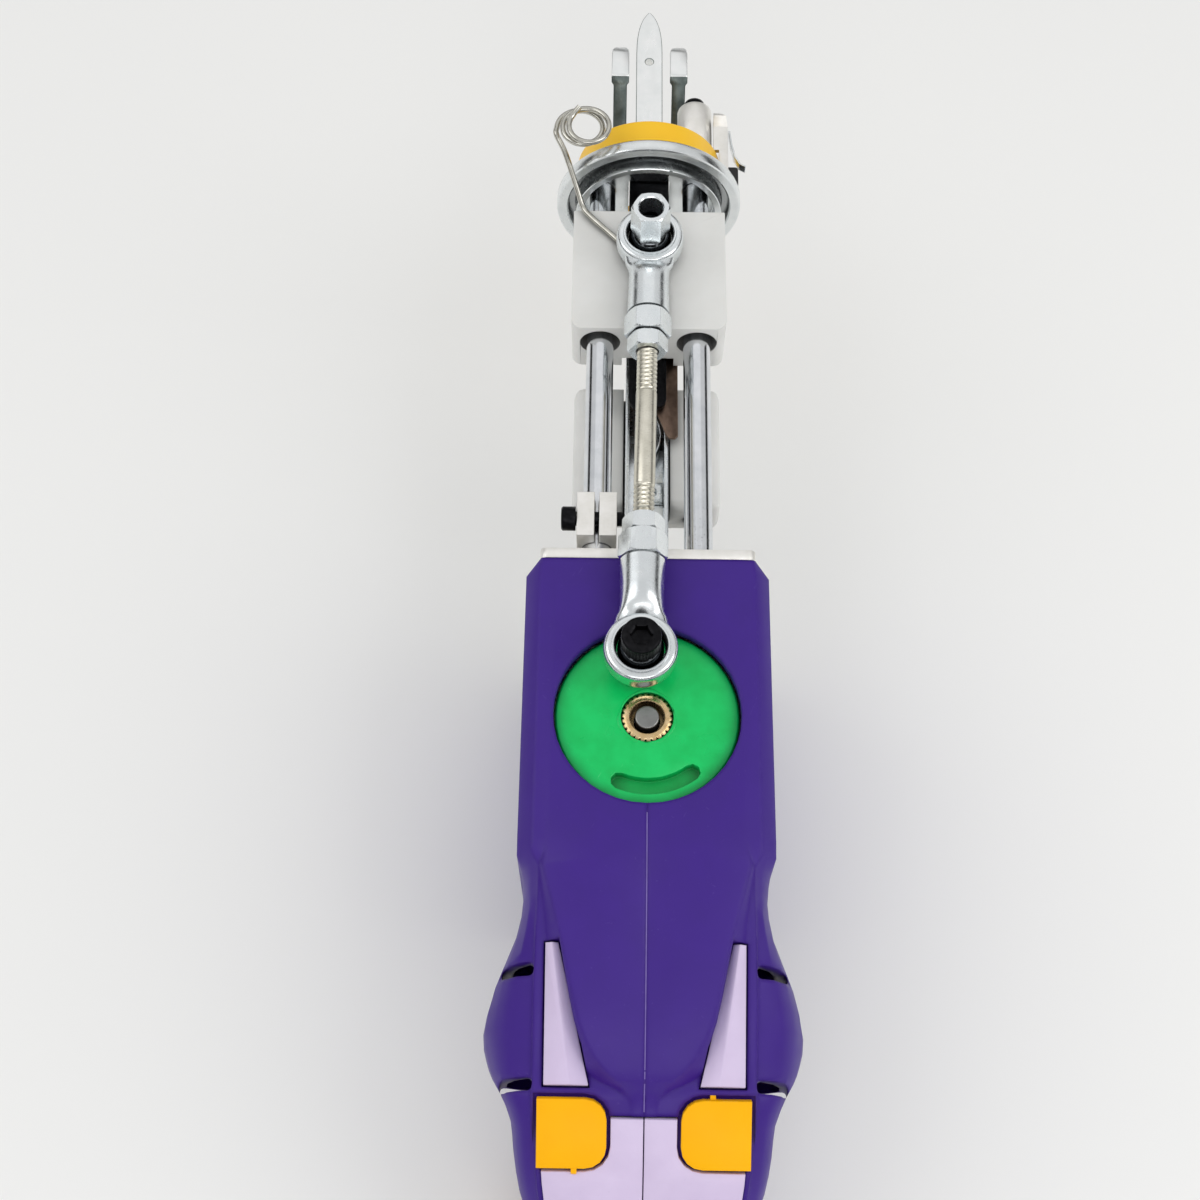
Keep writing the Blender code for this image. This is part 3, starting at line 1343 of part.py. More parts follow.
def lower_rods():
    for name, side in (("left", -1), ("right", 1)):
        place = (side * rod_half_spacing, plate_rear, lower_rod_height)
        turned("lower_rod_" + name, "ground_steel", [
            (0, 0), (lower_rod_radius, 0), (lower_rod_radius, lower_rod_length), (0, lower_rod_length)],
            place, "ahead", 16)
        inner = lower_rod_radius + fit_gap
        low = plate_thickness + fit_gap
        turned("bump_sleeve_" + name, "black_rubber", [
            (inner, low), (sleeve_radius, low), (sleeve_radius, low + sleeve_length),
            (inner, low + sleeve_length)], place, "ahead", 20, hollow=True)


def carriage_pieces(carriage_body):
    low = lower_rod_height - carriage_height / 2
    outline = rectangle(-carriage_half_width, carriage_half_width, low, low + carriage_height)
    block = prism("carriage_block", "white_nylon", outline, carriage_start, carriage_start + carriage_length, "Y",
                  body=carriage_body)
    round_edges(block, carriage_edge_radius, 3)
    groove_half = channel_half_width + fit_gap * 2
    groove = rectangle(-groove_half, groove_half, channel_base - carriage_groove_floor_gap,
                       low + carriage_height + cut_overrun)
    cut_prism([block], groove, carriage_start - cut_overrun, carriage_start + carriage_length + cut_overrun, "Y")
    for side in (-1, 1):
        cut_bore([block], lower_rod_radius + slide_gap, carriage_start - cut_overrun,
                 carriage_start + carriage_length + cut_overrun, (side * rod_half_spacing, 0, lower_rod_height),
                 "ahead", 16)


def blade_channel():
    """The folded channel: a floor and two low walls, fixed to the front plate."""
    w, t, h = channel_half_width, channel_wall, channel_height
    outline = [(-w, 0), (w, 0), (w, h), (w - t, h), (w - t, t), (-w + t, t), (-w + t, h), (-w, h)]
    start = plate_front + fit_gap
    prism("blade_channel", "zinc_steel", outline, start, start + channel_length, "Y", (0, 0, channel_base))
    return start


def channel_contents(start):
    floor = channel_base + channel_wall + fit_gap
    half = square_nut_side / 2
    aside = channel_half_width - channel_wall - half - fit_gap
    nut = prism("square_nut", "zinc_steel", rectangle(-half, half, -half, half), floor,
                floor + square_nut_thickness, "Z", (aside, start + square_nut_ahead, 0))
    cut_bore([nut], square_nut_hole_radius, floor - cut_overrun, floor + square_nut_thickness + cut_overrun,
             (aside, start + square_nut_ahead, 0), sides=12)
    edge = channel_half_width - channel_wall - fit_gap
    spring_rear = start + leaf_spring_start
    spring_top = channel_base + channel_height - fit_gap
    steps = 8
    middle = edge - leaf_spring_bow - leaf_spring_thickness
    line = [(middle + leaf_spring_bow * math.sin(math.pi * k / steps),
             spring_rear + leaf_spring_length * k / steps) for k in range(steps + 1)]
    prism("leaf_spring", "ground_steel", strip_outline(line, leaf_spring_thickness), floor, spring_top, "Z")


def blades(start, blade_body):
    """Fixed and moving scissor blades on the channel's front end, under the needle."""
    pivot_y = start + blade_pivot_ahead
    fixed_low = channel_base + channel_height + fit_gap
    moving_low = fixed_low + blade_thickness + fit_gap
    pin_top = moving_low + blade_thickness + fit_gap
    half = blade_width / 2
    shoulder = blade_length * (1 - blade_point_share)
    wide = channel_half_width
    outline = [(-wide, -blade_foot_length), (wide, -blade_foot_length), (wide, half), (half, blade_width),
               (half, shoulder), (-half, blade_length), (-half, blade_width), (-wide, half)]
    fixed = prism("fixed_blade", "ground_steel", outline, fixed_low, fixed_low + blade_thickness, "Z",
                  (0, pivot_y, 0))
    pin = turned("blade_pin", "ground_steel", [
        (0, fixed_low + fit_gap), (blade_pin_radius, fixed_low + fit_gap), (blade_pin_radius, pin_top),
        (0, pin_top)], (0, pivot_y, 0), sides=16)
    combine(fixed, pin, "UNION")
    outline = [(-half, -blade_width), (half, -blade_width), (half, blade_length), (-half, shoulder)]
    moving = prism("moving_blade", "ground_steel", outline, moving_low, moving_low + blade_thickness, "Z",
                   (0, pivot_y, 0), blade_body)
    cut_bore([moving], blade_pin_radius + fit_gap, moving_low - cut_overrun, moving_low + cut_overrun,
             (0, pivot_y, 0), sides=16)
    cutter_lever(start + lever_rear_ahead, pivot_y - blade_width - fit_gap, moving_low, blade_body)


def cutter_lever(rear, front, low, blade_body):
    """The moving blade's tail: a plate that widens behind the blade and narrows to a rounded end at the right."""
    half = blade_width / 2
    inner, outer, corner = lever_tail_inner, lever_tail_outer, lever_corner
    waist = rear + (inner - half) * 2.3
    shoulder = front - half * 2
    outline = [(-half, front), (-half, waist + half * 2), (half, waist), (inner - corner, rear + corner),
               (inner, rear), (outer - corner, rear), (outer, rear + corner), (outer, shoulder - outer), (half, front)]
    prism("cutter_lever", "bronze", outline, low, low + lever_thickness, "Z", body=blade_body)


# Grip pieces


def trigger_front_y(height):
    """Where the grip's front face lies at a height, from the chosen slices."""
    rows = tail_rows()
    for before, after in zip(rows, rows[1:]):
        if after[3] <= height <= before[3]:
            return before[2] + (after[2] - before[2]) * (height - before[3]) / (after[3] - before[3])
    return rows[-1][2]


def trigger_pieces(halves, trigger_body):
    z = trigger_centre_share * box_height
    face = trigger_front_y(z)
    half_h = trigger_height / 2
    front = face + trigger_reach
    back = face - trigger_depth
    line = [(front - trigger_hollow * (1 - (2 * k / 6 - 1) ** 2), z - half_h + trigger_height * k / 6)
            for k in range(7)]
    outline = line + [(back, z + half_h), (back, z - half_h)]
    trigger = prism("trigger", "yellow_abs", outline, -trigger_width / 2, trigger_width / 2, "X",
                    body=trigger_body)
    round_edges(trigger, trigger_hollow / 3, 2)
    gap = slide_gap
    slot = rectangle(back - cut_overrun * 2, front + cut_overrun, z - half_h - gap, z + half_h + gap)
    cut_prism(halves, slot, -trigger_width / 2 - gap, trigger_width / 2 + gap, "X")
    switch_front = back - trigger_travel - fit_gap
    outline = rectangle(switch_front - switch_length, switch_front, z - switch_height / 2, z + switch_height / 2)
    switch = prism("trigger_switch", "black_rubber", outline, -switch_width / 2, switch_width / 2, "X")
    round_edges(switch, fit_gap * 2, 1)
    rib_top = z - switch_height / 2 - fit_gap
    rib_rear = switch_front - switch_length / 2 - switch_rib_length / 2
    reach = switch_rib_reach_share * box_half_width
    for half, side in zip(halves, (-1, 1)):
        low, high = sorted((side * seam_gap / 2, side * reach))
        rib = prism(half.name + "_switch_rib", "purple_abs", rectangle(low, high, rib_rear, rib_rear
                    + switch_rib_length), rib_top - switch_rib_thickness, rib_top, "Z")
        combine(half, rib, "UNION")


def side_controls(half, lock_body_place, knob_body_place, lock_body, knob_body):
    cut_bore([half], lock_button_radius + slide_gap, -cut_overrun * 3, cut_overrun * 3, lock_body_place, "right", 20)
    c = lock_button_radius / 6
    turned("lock_button", "black_rubber", [
        (0, -lock_button_proud), (lock_button_radius - c, -lock_button_proud),
        (lock_button_radius, -lock_button_proud + c), (lock_button_radius, lock_button_length
        - lock_button_proud), (0, lock_button_length - lock_button_proud)],
        lock_body_place, "right", 20, body=lock_body)
    cut_bore([half], knob_stem_radius + slide_gap, -cut_overrun * 3, cut_overrun * 3, knob_body_place, "right", 20)
    rim = -fit_gap * 3
    stem_end = housing_wall * 2.5
    knob = turned("speed_knob", "yellow_abs", [
        (0, rim - knob_thickness), (knob_radius - c, rim - knob_thickness), (knob_radius, rim - knob_thickness + c),
        (knob_radius, rim), (knob_stem_radius, rim), (knob_stem_radius, stem_end), (0, stem_end)],
        knob_body_place, "right", 36, body=knob_body)
    for k in range(knob_notches):
        angle = 2 * math.pi * k / knob_notches
        place = Vector(knob_body_place) + Vector((0, knob_radius * math.cos(angle), knob_radius * math.sin(angle)))
        cut_bore([knob], knob_radius / 10, rim - knob_thickness - cut_overrun, rim - knob_thickness / 3, place,
                 "right", 6)


def electrics(halves):
    y = -box_rear - jack_reach_share * tail_length
    cut_bore(halves, jack_radius + fit_gap, -cut_overrun, cut_overrun * 3, (0, y, 0))
    top = jack_recess + jack_length
    floor = jack_recess + jack_bore_depth
    turned("power_jack", "black_rubber", [
        (0, floor), (jack_bore_radius, floor), (jack_bore_radius, jack_recess), (jack_radius, jack_recess),
        (jack_radius, top), (0, top)], (0, y, 0), sides=20)
    arch_top = max(row[3] for row in tail_rows())
    arch = [row[2] for row in tail_rows() if arch_top - row[3] < fit_gap]
    middle = (arch[0] + arch[-1]) / 2
    low = arch_top + housing_wall + fit_gap
    outline = rectangle(-board_width / 2, board_width / 2, middle - board_length / 2, middle + board_length / 2)
    prism("speed_board", "board_green", outline, low, low + board_thickness, "Z")


def build():
    clear_scene()
    wheel_body = body_empty("wheel_body", (0, 0, 0))
    slider_body = body_empty("slider_body", (0, stud_y, 0))
    conrod_body = body_empty("conrod_body", (0, stud_y, eye_height))
    carriage_body = body_empty("carriage_body", (0, carriage_start, lower_rod_height))
    foot_body = body_empty("foot_body", (0, plate_front, rod_height))
    blade_start = plate_front + fit_gap
    blade_body = body_empty("blade_body", (0, blade_start + blade_pivot_ahead, 0))
    trigger_z = trigger_centre_share * box_height
    trigger_body = body_empty("trigger_body", (0, trigger_front_y(trigger_z), trigger_z))
    lock_point = slice_side(tail_row_at(lock_reach_share))[lock_slice_point]
    lock_place = (-lock_point.x, lock_point.y, lock_point.z)
    knob_row = tail_row_at(0.94)
    knob_place = (-knob_row[4], knob_row[0] / 2 + knob_row[2] / 2, knob_height_share * box_height)
    lock_body = body_empty("lock_body", lock_place)
    knob_body = body_empty("knob_body", knob_place)

    halves = housing_halves()
    cut_vents(halves)
    wedge_inserts(halves)
    corner_tabs(halves)
    rear_panels(halves)
    trigger_pieces(halves, trigger_body)
    side_controls(halves[0], lock_place, knob_place, lock_body, knob_body)
    electrics(halves)

    motor_pieces(wheel_body)
    wheel_pieces(wheel_body)
    conrod_pieces(conrod_body, slider_body)
    slider_pieces(slider_body)
    yarn_guide(slider_body)

    guide_rods(foot_body)
    foot_ring(foot_body)
    foot_collar(foot_body)
    foot_fork(foot_body)
    boss_pieces(foot_body)
    bracket_pieces(foot_body)
    clamp_pieces(foot_body)

    front_plate()
    lower_rods()
    carriage_pieces(carriage_body)
    start = blade_channel()
    channel_contents(start)
    blades(start, blade_body)


build()
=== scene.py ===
"""Handheld tufting machine, dressed for the photograph: finishes, threads, knurls, screws and small marks.

Metres, +Z up, +Y to the needle. The sizes of finishes and pieces are real ones, written in millimetres.
"""
import json
import math

import bmesh
import bpy
from mathutils import Matrix, Vector


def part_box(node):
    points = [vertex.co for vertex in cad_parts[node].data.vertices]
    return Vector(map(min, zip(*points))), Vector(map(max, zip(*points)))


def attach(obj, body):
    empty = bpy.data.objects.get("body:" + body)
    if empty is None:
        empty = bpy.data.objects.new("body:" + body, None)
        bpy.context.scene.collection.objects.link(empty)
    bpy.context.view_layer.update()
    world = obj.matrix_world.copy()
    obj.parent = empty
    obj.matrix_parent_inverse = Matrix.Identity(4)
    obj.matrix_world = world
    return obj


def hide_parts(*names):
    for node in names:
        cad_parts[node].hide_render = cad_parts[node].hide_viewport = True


MM = 0.001

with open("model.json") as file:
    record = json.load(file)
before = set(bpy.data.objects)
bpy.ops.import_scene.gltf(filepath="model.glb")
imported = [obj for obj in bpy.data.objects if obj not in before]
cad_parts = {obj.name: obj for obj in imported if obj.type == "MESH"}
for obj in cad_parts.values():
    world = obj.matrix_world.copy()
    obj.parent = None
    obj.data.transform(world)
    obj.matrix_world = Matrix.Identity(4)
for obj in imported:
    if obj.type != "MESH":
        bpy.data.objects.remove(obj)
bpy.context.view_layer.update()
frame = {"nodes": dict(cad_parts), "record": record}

# Camera and studio, in metres and watts

CAMERA_PLACE = (-0.01005, -0.1695, 0.5374)
CAMERA_TILT = math.radians(24.8)
CAMERA_TURN = math.radians(0.848)
CAMERA_LENS = 53.1
FLOOR_SIZE = 4.0
FLOOR_HEX = "F1F1EF"
HORIZON_LIGHT = (0.62, 0.62, 0.62, 1)
OVERHEAD_LIGHT = (0.70, 0.70, 0.705, 1)
CARD_HEX = "0A0A0B"
CARD_AIM = (0, 0.08, 0.09)
# Name, place, width and height
CARDS = (("card_left", (-1.1, 0.1, 0.32), (2.2, 0.42)),
         ("card_right", (1.1, 0.1, 0.32), (2.2, 0.42)),
         ("card_behind", (0, -1.1, 0.42), (1.6, 0.5)),
         ("card_ahead", (0, 1.3, 0.3), (1.6, 0.36)))
# Name, place, aim, width and height, power
LAMPS = (("window_left", (-0.85, 0.15, 0.95), (0, 0.05, 0.08), (0.7, 0.9), 2.2),
         ("window_right", (0.85, -0.1, 0.85), (0, 0.0, 0.08), (0.5, 0.9), 2.9),
         ("softbox_behind", (0.05, -0.75, 0.75), (0, 0.0, 0.08), (0.9, 0.35), 1.8),
         ("softbox_ahead", (0, 1.05, 1.2), (0, 0.15, 0.09), (1.3, 0.75), 0.6))


def linear(hex_code):
    """An sRGB hex colour as linear values with full alpha."""
    values = []
    for k in range(3):
        part = int(hex_code[2 * k:2 * k + 2], 16) / 255
        values.append(part / 12.92 if part <= 0.04045 else ((part + 0.055) / 1.055) ** 2.4)
    return (*values, 1.0)


def add_node(tree, kind, inputs=None, **settings):
    """Adds one node, with its settings, and its inputs as values or as links."""
    node = tree.nodes.new(kind)
    for name, value in settings.items():
        setattr(node, name, value)
    for socket, value in (inputs or {}).items():
        if isinstance(value, bpy.types.NodeSocket):
            tree.links.new(value, node.inputs[socket])
        else:
            node.inputs[socket].default_value = value
    return node


def new_finish(name, roughness, metallic=0.0):
    made = bpy.data.materials.new(name)
    made.use_nodes = True
    shader = made.node_tree.nodes["Principled BSDF"]
    shader.inputs["Roughness"].default_value = roughness
    shader.inputs["Metallic"].default_value = metallic
    return made, shader


def set_camera():
    lens = bpy.data.cameras.new("photo_camera")
    lens.lens = CAMERA_LENS
    lens.sensor_width = 36
    lens.clip_start = 0.01
    camera = bpy.data.objects.new("photo_camera", lens)
    camera.location = CAMERA_PLACE
    camera.rotation_euler = (CAMERA_TILT, 0, CAMERA_TURN)
    bpy.context.scene.collection.objects.link(camera)
    bpy.context.scene.camera = camera


def set_world():
    """Soft room light, a little brighter overhead than at the horizon."""
    world = bpy.data.worlds.new("soft_room")
    bpy.context.scene.world = world
    world.use_nodes = True
    tree = world.node_tree
    tree.nodes.clear()
    place = add_node(tree, "ShaderNodeTexCoord")
    split = add_node(tree, "ShaderNodeSeparateXYZ", {"Vector": place.outputs["Generated"]})
    bands = add_node(tree, "ShaderNodeValToRGB", {"Fac": split.outputs["Z"]})
    horizon, overhead = bands.color_ramp.elements
    horizon.position, horizon.color = 0.0, HORIZON_LIGHT
    overhead.position, overhead.color = 1.0, OVERHEAD_LIGHT
    back = add_node(tree, "ShaderNodeBackground", {"Color": bands.outputs["Color"], "Strength": 1.0})
    add_node(tree, "ShaderNodeOutputWorld", {"Surface": back.outputs["Background"]})


def matt_sheet(name, hex_code, roughness):
    """A material of one colour, for what only carries or lights the object."""
    made, shader = new_finish(name, roughness)
    shader.inputs["Base Color"].default_value = linear(hex_code)
    return made


def stage_sheet(name, size, place, material):
    """A flat sheet that carries or lights the object and isn't part of it."""
    shape = bmesh.new()
    bmesh.ops.create_grid(shape, x_segments=1, y_segments=1, size=0.5)
    bmesh.ops.scale(shape, vec=(*size, 1), verts=shape.verts)
    data = bpy.data.meshes.new(name)
    shape.to_mesh(data)
    shape.free()
    data.materials.append(material)
    sheet = bpy.data.objects.new(name, data)
    sheet.location = place
    bpy.context.scene.collection.objects.link(sheet)
    return sheet


def aimed(item, aim, front):
    """Turns one side of a card or lamp towards a point."""
    item.rotation_euler = (Vector(aim) - item.location).to_track_quat(front, "Y").to_euler()


def set_stage():
    """A pale paper sweep, and black cards that only reflections see, to give polished metal its dark lines."""
    paper = matt_sheet("matt_paper_sweep", FLOOR_HEX, 0.9)
    stage_sheet("floor", (FLOOR_SIZE, FLOOR_SIZE), (0, 0, -0.2 * MM), paper)
    black = matt_sheet("black_card", CARD_HEX, 1.0)
    for name, place, size in CARDS:
        card = stage_sheet(name, size, place, black)
        aimed(card, CARD_AIM, "Z")
        card.visible_camera = card.visible_diffuse = card.visible_shadow = False


def set_lamps():
    for name, place, aim, size, power in LAMPS:
        light = bpy.data.lights.new(name, "AREA")
        light.shape = "RECTANGLE"
        light.size, light.size_y = size
        light.energy = power
        lamp = bpy.data.objects.new(name, light)
        lamp.location = place
        aimed(lamp, aim, "-Z")
        bpy.context.scene.collection.objects.link(lamp)


# Finishes

# Spark-eroded grain is about 0.05 mm and grinding lines are finer still. Both are too fine to show, and
# are drawn as coarse as the sizes below.
GRAIN_HEIGHT = 0.012
SCRATCH_WIDTH = 0.5
SCRATCH_STRETCH = 40
# Colour of the painted shade in grooves and corners
SHADE_HEX = "0B0A0C"
# Rust pits on the rods, from nothing at the first place along Y to all at the second
PIT_HEX = "2A2622"
PITS_FADE = 72
PITS_FULL = 52


def patches(tree, coords, size_mm, detail, low, high, least=0.0, most=1.0):
    """Soft patches about size_mm across: least where the noise is below low, most where it is above high."""
    cloud = add_node(tree, "ShaderNodeTexNoise", {
        "Vector": coords, "Scale": 1 / (size_mm * MM), "Detail": detail, "Roughness": 0.55})
    return add_node(tree, "ShaderNodeMapRange", {
        "Value": cloud.outputs["Fac"], "From Min": low, "From Max": high,
        "To Min": least, "To Max": most}).outputs["Result"]


def tinted(tree, colour, tint_hex, *masks):
    """Brings a colour towards a tint by the product of one or more masks."""
    share = masks[0]
    for mask in masks[1:]:
        share = add_node(tree, "ShaderNodeMath", {0: share, 1: mask}, operation="MULTIPLY").outputs[0]
    return add_node(tree, "ShaderNodeMix", {0: share, 6: colour, 7: linear(tint_hex)},
                    data_type="RGBA").outputs[2]


def edge_mask(tree, radius_mm):
    """One on edges and corners, nought on flat ground, from the difference that a rounded normal makes."""
    soft = add_node(tree, "ShaderNodeBevel", {"Radius": radius_mm * MM}, samples=4)
    hard = add_node(tree, "ShaderNodeNewGeometry")
    likeness = add_node(tree, "ShaderNodeVectorMath", {0: soft.outputs["Normal"], 1: hard.outputs["Normal"]},
                        operation="DOT_PRODUCT")
    return add_node(tree, "ShaderNodeMapRange", {
        "Value": likeness.outputs["Value"], "From Min": 0.985, "From Max": 0.80}).outputs["Result"]


def shaded_hollow(tree, colour, reach_mm, depth, hollow_shade_hex):
    """Paints shade into a colour, darker in grooves and corners narrower than reach_mm."""
    open_air = add_node(tree, "ShaderNodeAmbientOcclusion", {"Distance": reach_mm * MM}, samples=12)
    hollow_shade = add_node(tree, "ShaderNodeMapRange", {
        "Value": open_air.outputs["AO"], "From Min": 0.25, "From Max": 0.85, "To Min": depth, "To Max": 0.0})
    return tinted(tree, colour, hollow_shade_hex, hollow_shade.outputs["Result"])


def hairlines(tree, coords):
    """Sparse fine scratches in two slanted directions."""
    lines = []
    for angle in (0.5, -0.9):
        slanted = add_node(tree, "ShaderNodeMapping", {"Vector": coords, "Rotation": (0.2, 0.1, angle)})
        drawn_out = add_node(tree, "ShaderNodeMapping", {
            "Vector": slanted.outputs["Vector"], "Scale": (1, 1 / SCRATCH_STRETCH, 1)})
        streak = add_node(tree, "ShaderNodeTexNoise", {
            "Vector": drawn_out.outputs["Vector"], "Scale": 1 / (SCRATCH_WIDTH * MM), "Detail": 2.0,
            "Roughness": 0.5})
        line = add_node(tree, "ShaderNodeMapRange", {
            "Value": streak.outputs["Fac"], "From Min": 0.70, "From Max": 0.74})
        lines.append(add_node(tree, "ShaderNodeMath", {
            0: line.outputs["Result"], 1: patches(tree, coords, 11.0, 1.0, 0.56, 0.66)}, operation="MULTIPLY"))
    return add_node(tree, "ShaderNodeMath", {
        0: lines[0].outputs[0], 1: lines[1].outputs[0]}, operation="MAXIMUM").outputs[0]


def moulded_plastic(name, base_hex, shade_hex, worn_hex, roughness, grain_mm=0.35, mottle_mm=9.0, mottle=0.5,
                    scratches=0.35, specks=0.0, soften=0.0, hollow_shade=0.35, hollow_shade_mm=1.2, hollow_shade_hex=SHADE_HEX,
                    shine=0.5, corner_mm=0.4):
    """Injection-moulded plastic: even colour with faint flow mottle, spark-eroded grain, hairline scratches."""
    made, shader = new_finish(name, roughness)
    tree = made.node_tree
    coords = add_node(tree, "ShaderNodeTexCoord").outputs["Object"]
    flow = patches(tree, coords, mottle_mm, 4.0, 0.35, 0.68, 0.0, mottle)
    colour = tinted(tree, linear(base_hex), shade_hex, flow)
    colour = tinted(tree, colour, worn_hex, hairlines(tree, coords), scratches)
    rubbed = patches(tree, coords, 2.5, 3.0, 0.42, 0.62, 0.0, 0.45)
    colour = tinted(tree, colour, worn_hex, edge_mask(tree, 0.35), rubbed)
    if specks:
        colour = tinted(tree, colour, worn_hex, patches(tree, coords, 0.9, 1.0, 0.74, 0.80, 0.0, specks))
    # Painted shade in grooves, pockets and corners
    colour = shaded_hollow(tree, colour, hollow_shade_mm, hollow_shade, hollow_shade_hex)
    tree.links.new(colour, shader.inputs["Base Color"])
    shader.inputs["Specular IOR Level"].default_value = shine
    gloss = patches(tree, coords, 14.0, 3.0, 0.3, 0.7, roughness - 0.05, roughness + 0.07)
    tree.links.new(gloss, shader.inputs["Roughness"])
    grain = add_node(tree, "ShaderNodeTexNoise", {
        "Vector": coords, "Scale": 1 / (grain_mm * MM), "Detail": 2.0, "Roughness": 0.55})
    soft = add_node(tree, "ShaderNodeBevel", {"Radius": corner_mm * MM}, samples=6)
    bump = add_node(tree, "ShaderNodeBump", {
        "Height": grain.outputs["Fac"], "Strength": 0.35, "Distance": GRAIN_HEIGHT * MM,
        "Normal": soft.outputs["Normal"]})
    tree.links.new(bump.outputs["Normal"], shader.inputs["Normal"])
    if soften:
        shader.inputs["Subsurface Weight"].default_value = soften
        shader.inputs["Subsurface Radius"].default_value = (0.0012, 0.0011, 0.0010)
        shader.inputs["Subsurface Scale"].default_value = 1.0
    return made


def metal(name, light_hex, dark_hex, roughness, streak_mm=0.4, streak=(1, 1, 1), streak_height=0.004,
          mottle_mm=3.0, stain_hex=None, stain=0.0, pits=0.0, hollow_shade=0.5, hollow_shade_mm=1.5):
    """Bare or plated metal: two tones, tool marks along one direction, and stains or pits where it has them."""
    made, shader = new_finish(name, roughness, 1.0)
    tree = made.node_tree
    coords = add_node(tree, "ShaderNodeTexCoord").outputs["Object"]
    colour = tinted(tree, linear(light_hex), dark_hex, patches(tree, coords, mottle_mm, 3.0, 0.3, 0.7))
    if stain:
        spots = patches(tree, coords, mottle_mm * 0.6, 4.0, 0.60, 0.74, 0.0, stain)
        colour = tinted(tree, colour, stain_hex, spots)
    if pits:
        along = add_node(tree, "ShaderNodeSeparateXYZ", {"Vector": coords}).outputs["Y"]
        rear = add_node(tree, "ShaderNodeMapRange", {
            "Value": along, "From Min": PITS_FADE * MM, "From Max": PITS_FULL * MM, "To Max": pits})
        holes = patches(tree, coords, 0.45, 1.0, 0.68, 0.74)
        colour = tinted(tree, colour, PIT_HEX, holes, rear.outputs["Result"])
    # Painted shade in grooves, pockets and corners
    colour = shaded_hollow(tree, colour, hollow_shade_mm, hollow_shade, SHADE_HEX)
    tree.links.new(colour, shader.inputs["Base Color"])
    drawn_out = add_node(tree, "ShaderNodeMapping", {"Vector": coords, "Scale": tuple(1 / s for s in streak)})
    marks = add_node(tree, "ShaderNodeTexNoise", {
        "Vector": drawn_out.outputs["Vector"], "Scale": 1 / (streak_mm * MM), "Detail": 2.0, "Roughness": 0.6})
    gloss = add_node(tree, "ShaderNodeMapRange", {
        "Value": marks.outputs["Fac"], "From Min": 0.25, "From Max": 0.75,
        "To Min": roughness * 0.8, "To Max": roughness * 1.35})
    tree.links.new(gloss.outputs["Result"], shader.inputs["Roughness"])
    bump = add_node(tree, "ShaderNodeBump", {
        "Height": marks.outputs["Fac"], "Strength": 0.4, "Distance": streak_height * MM})
    tree.links.new(bump.outputs["Normal"], shader.inputs["Normal"])
    return made


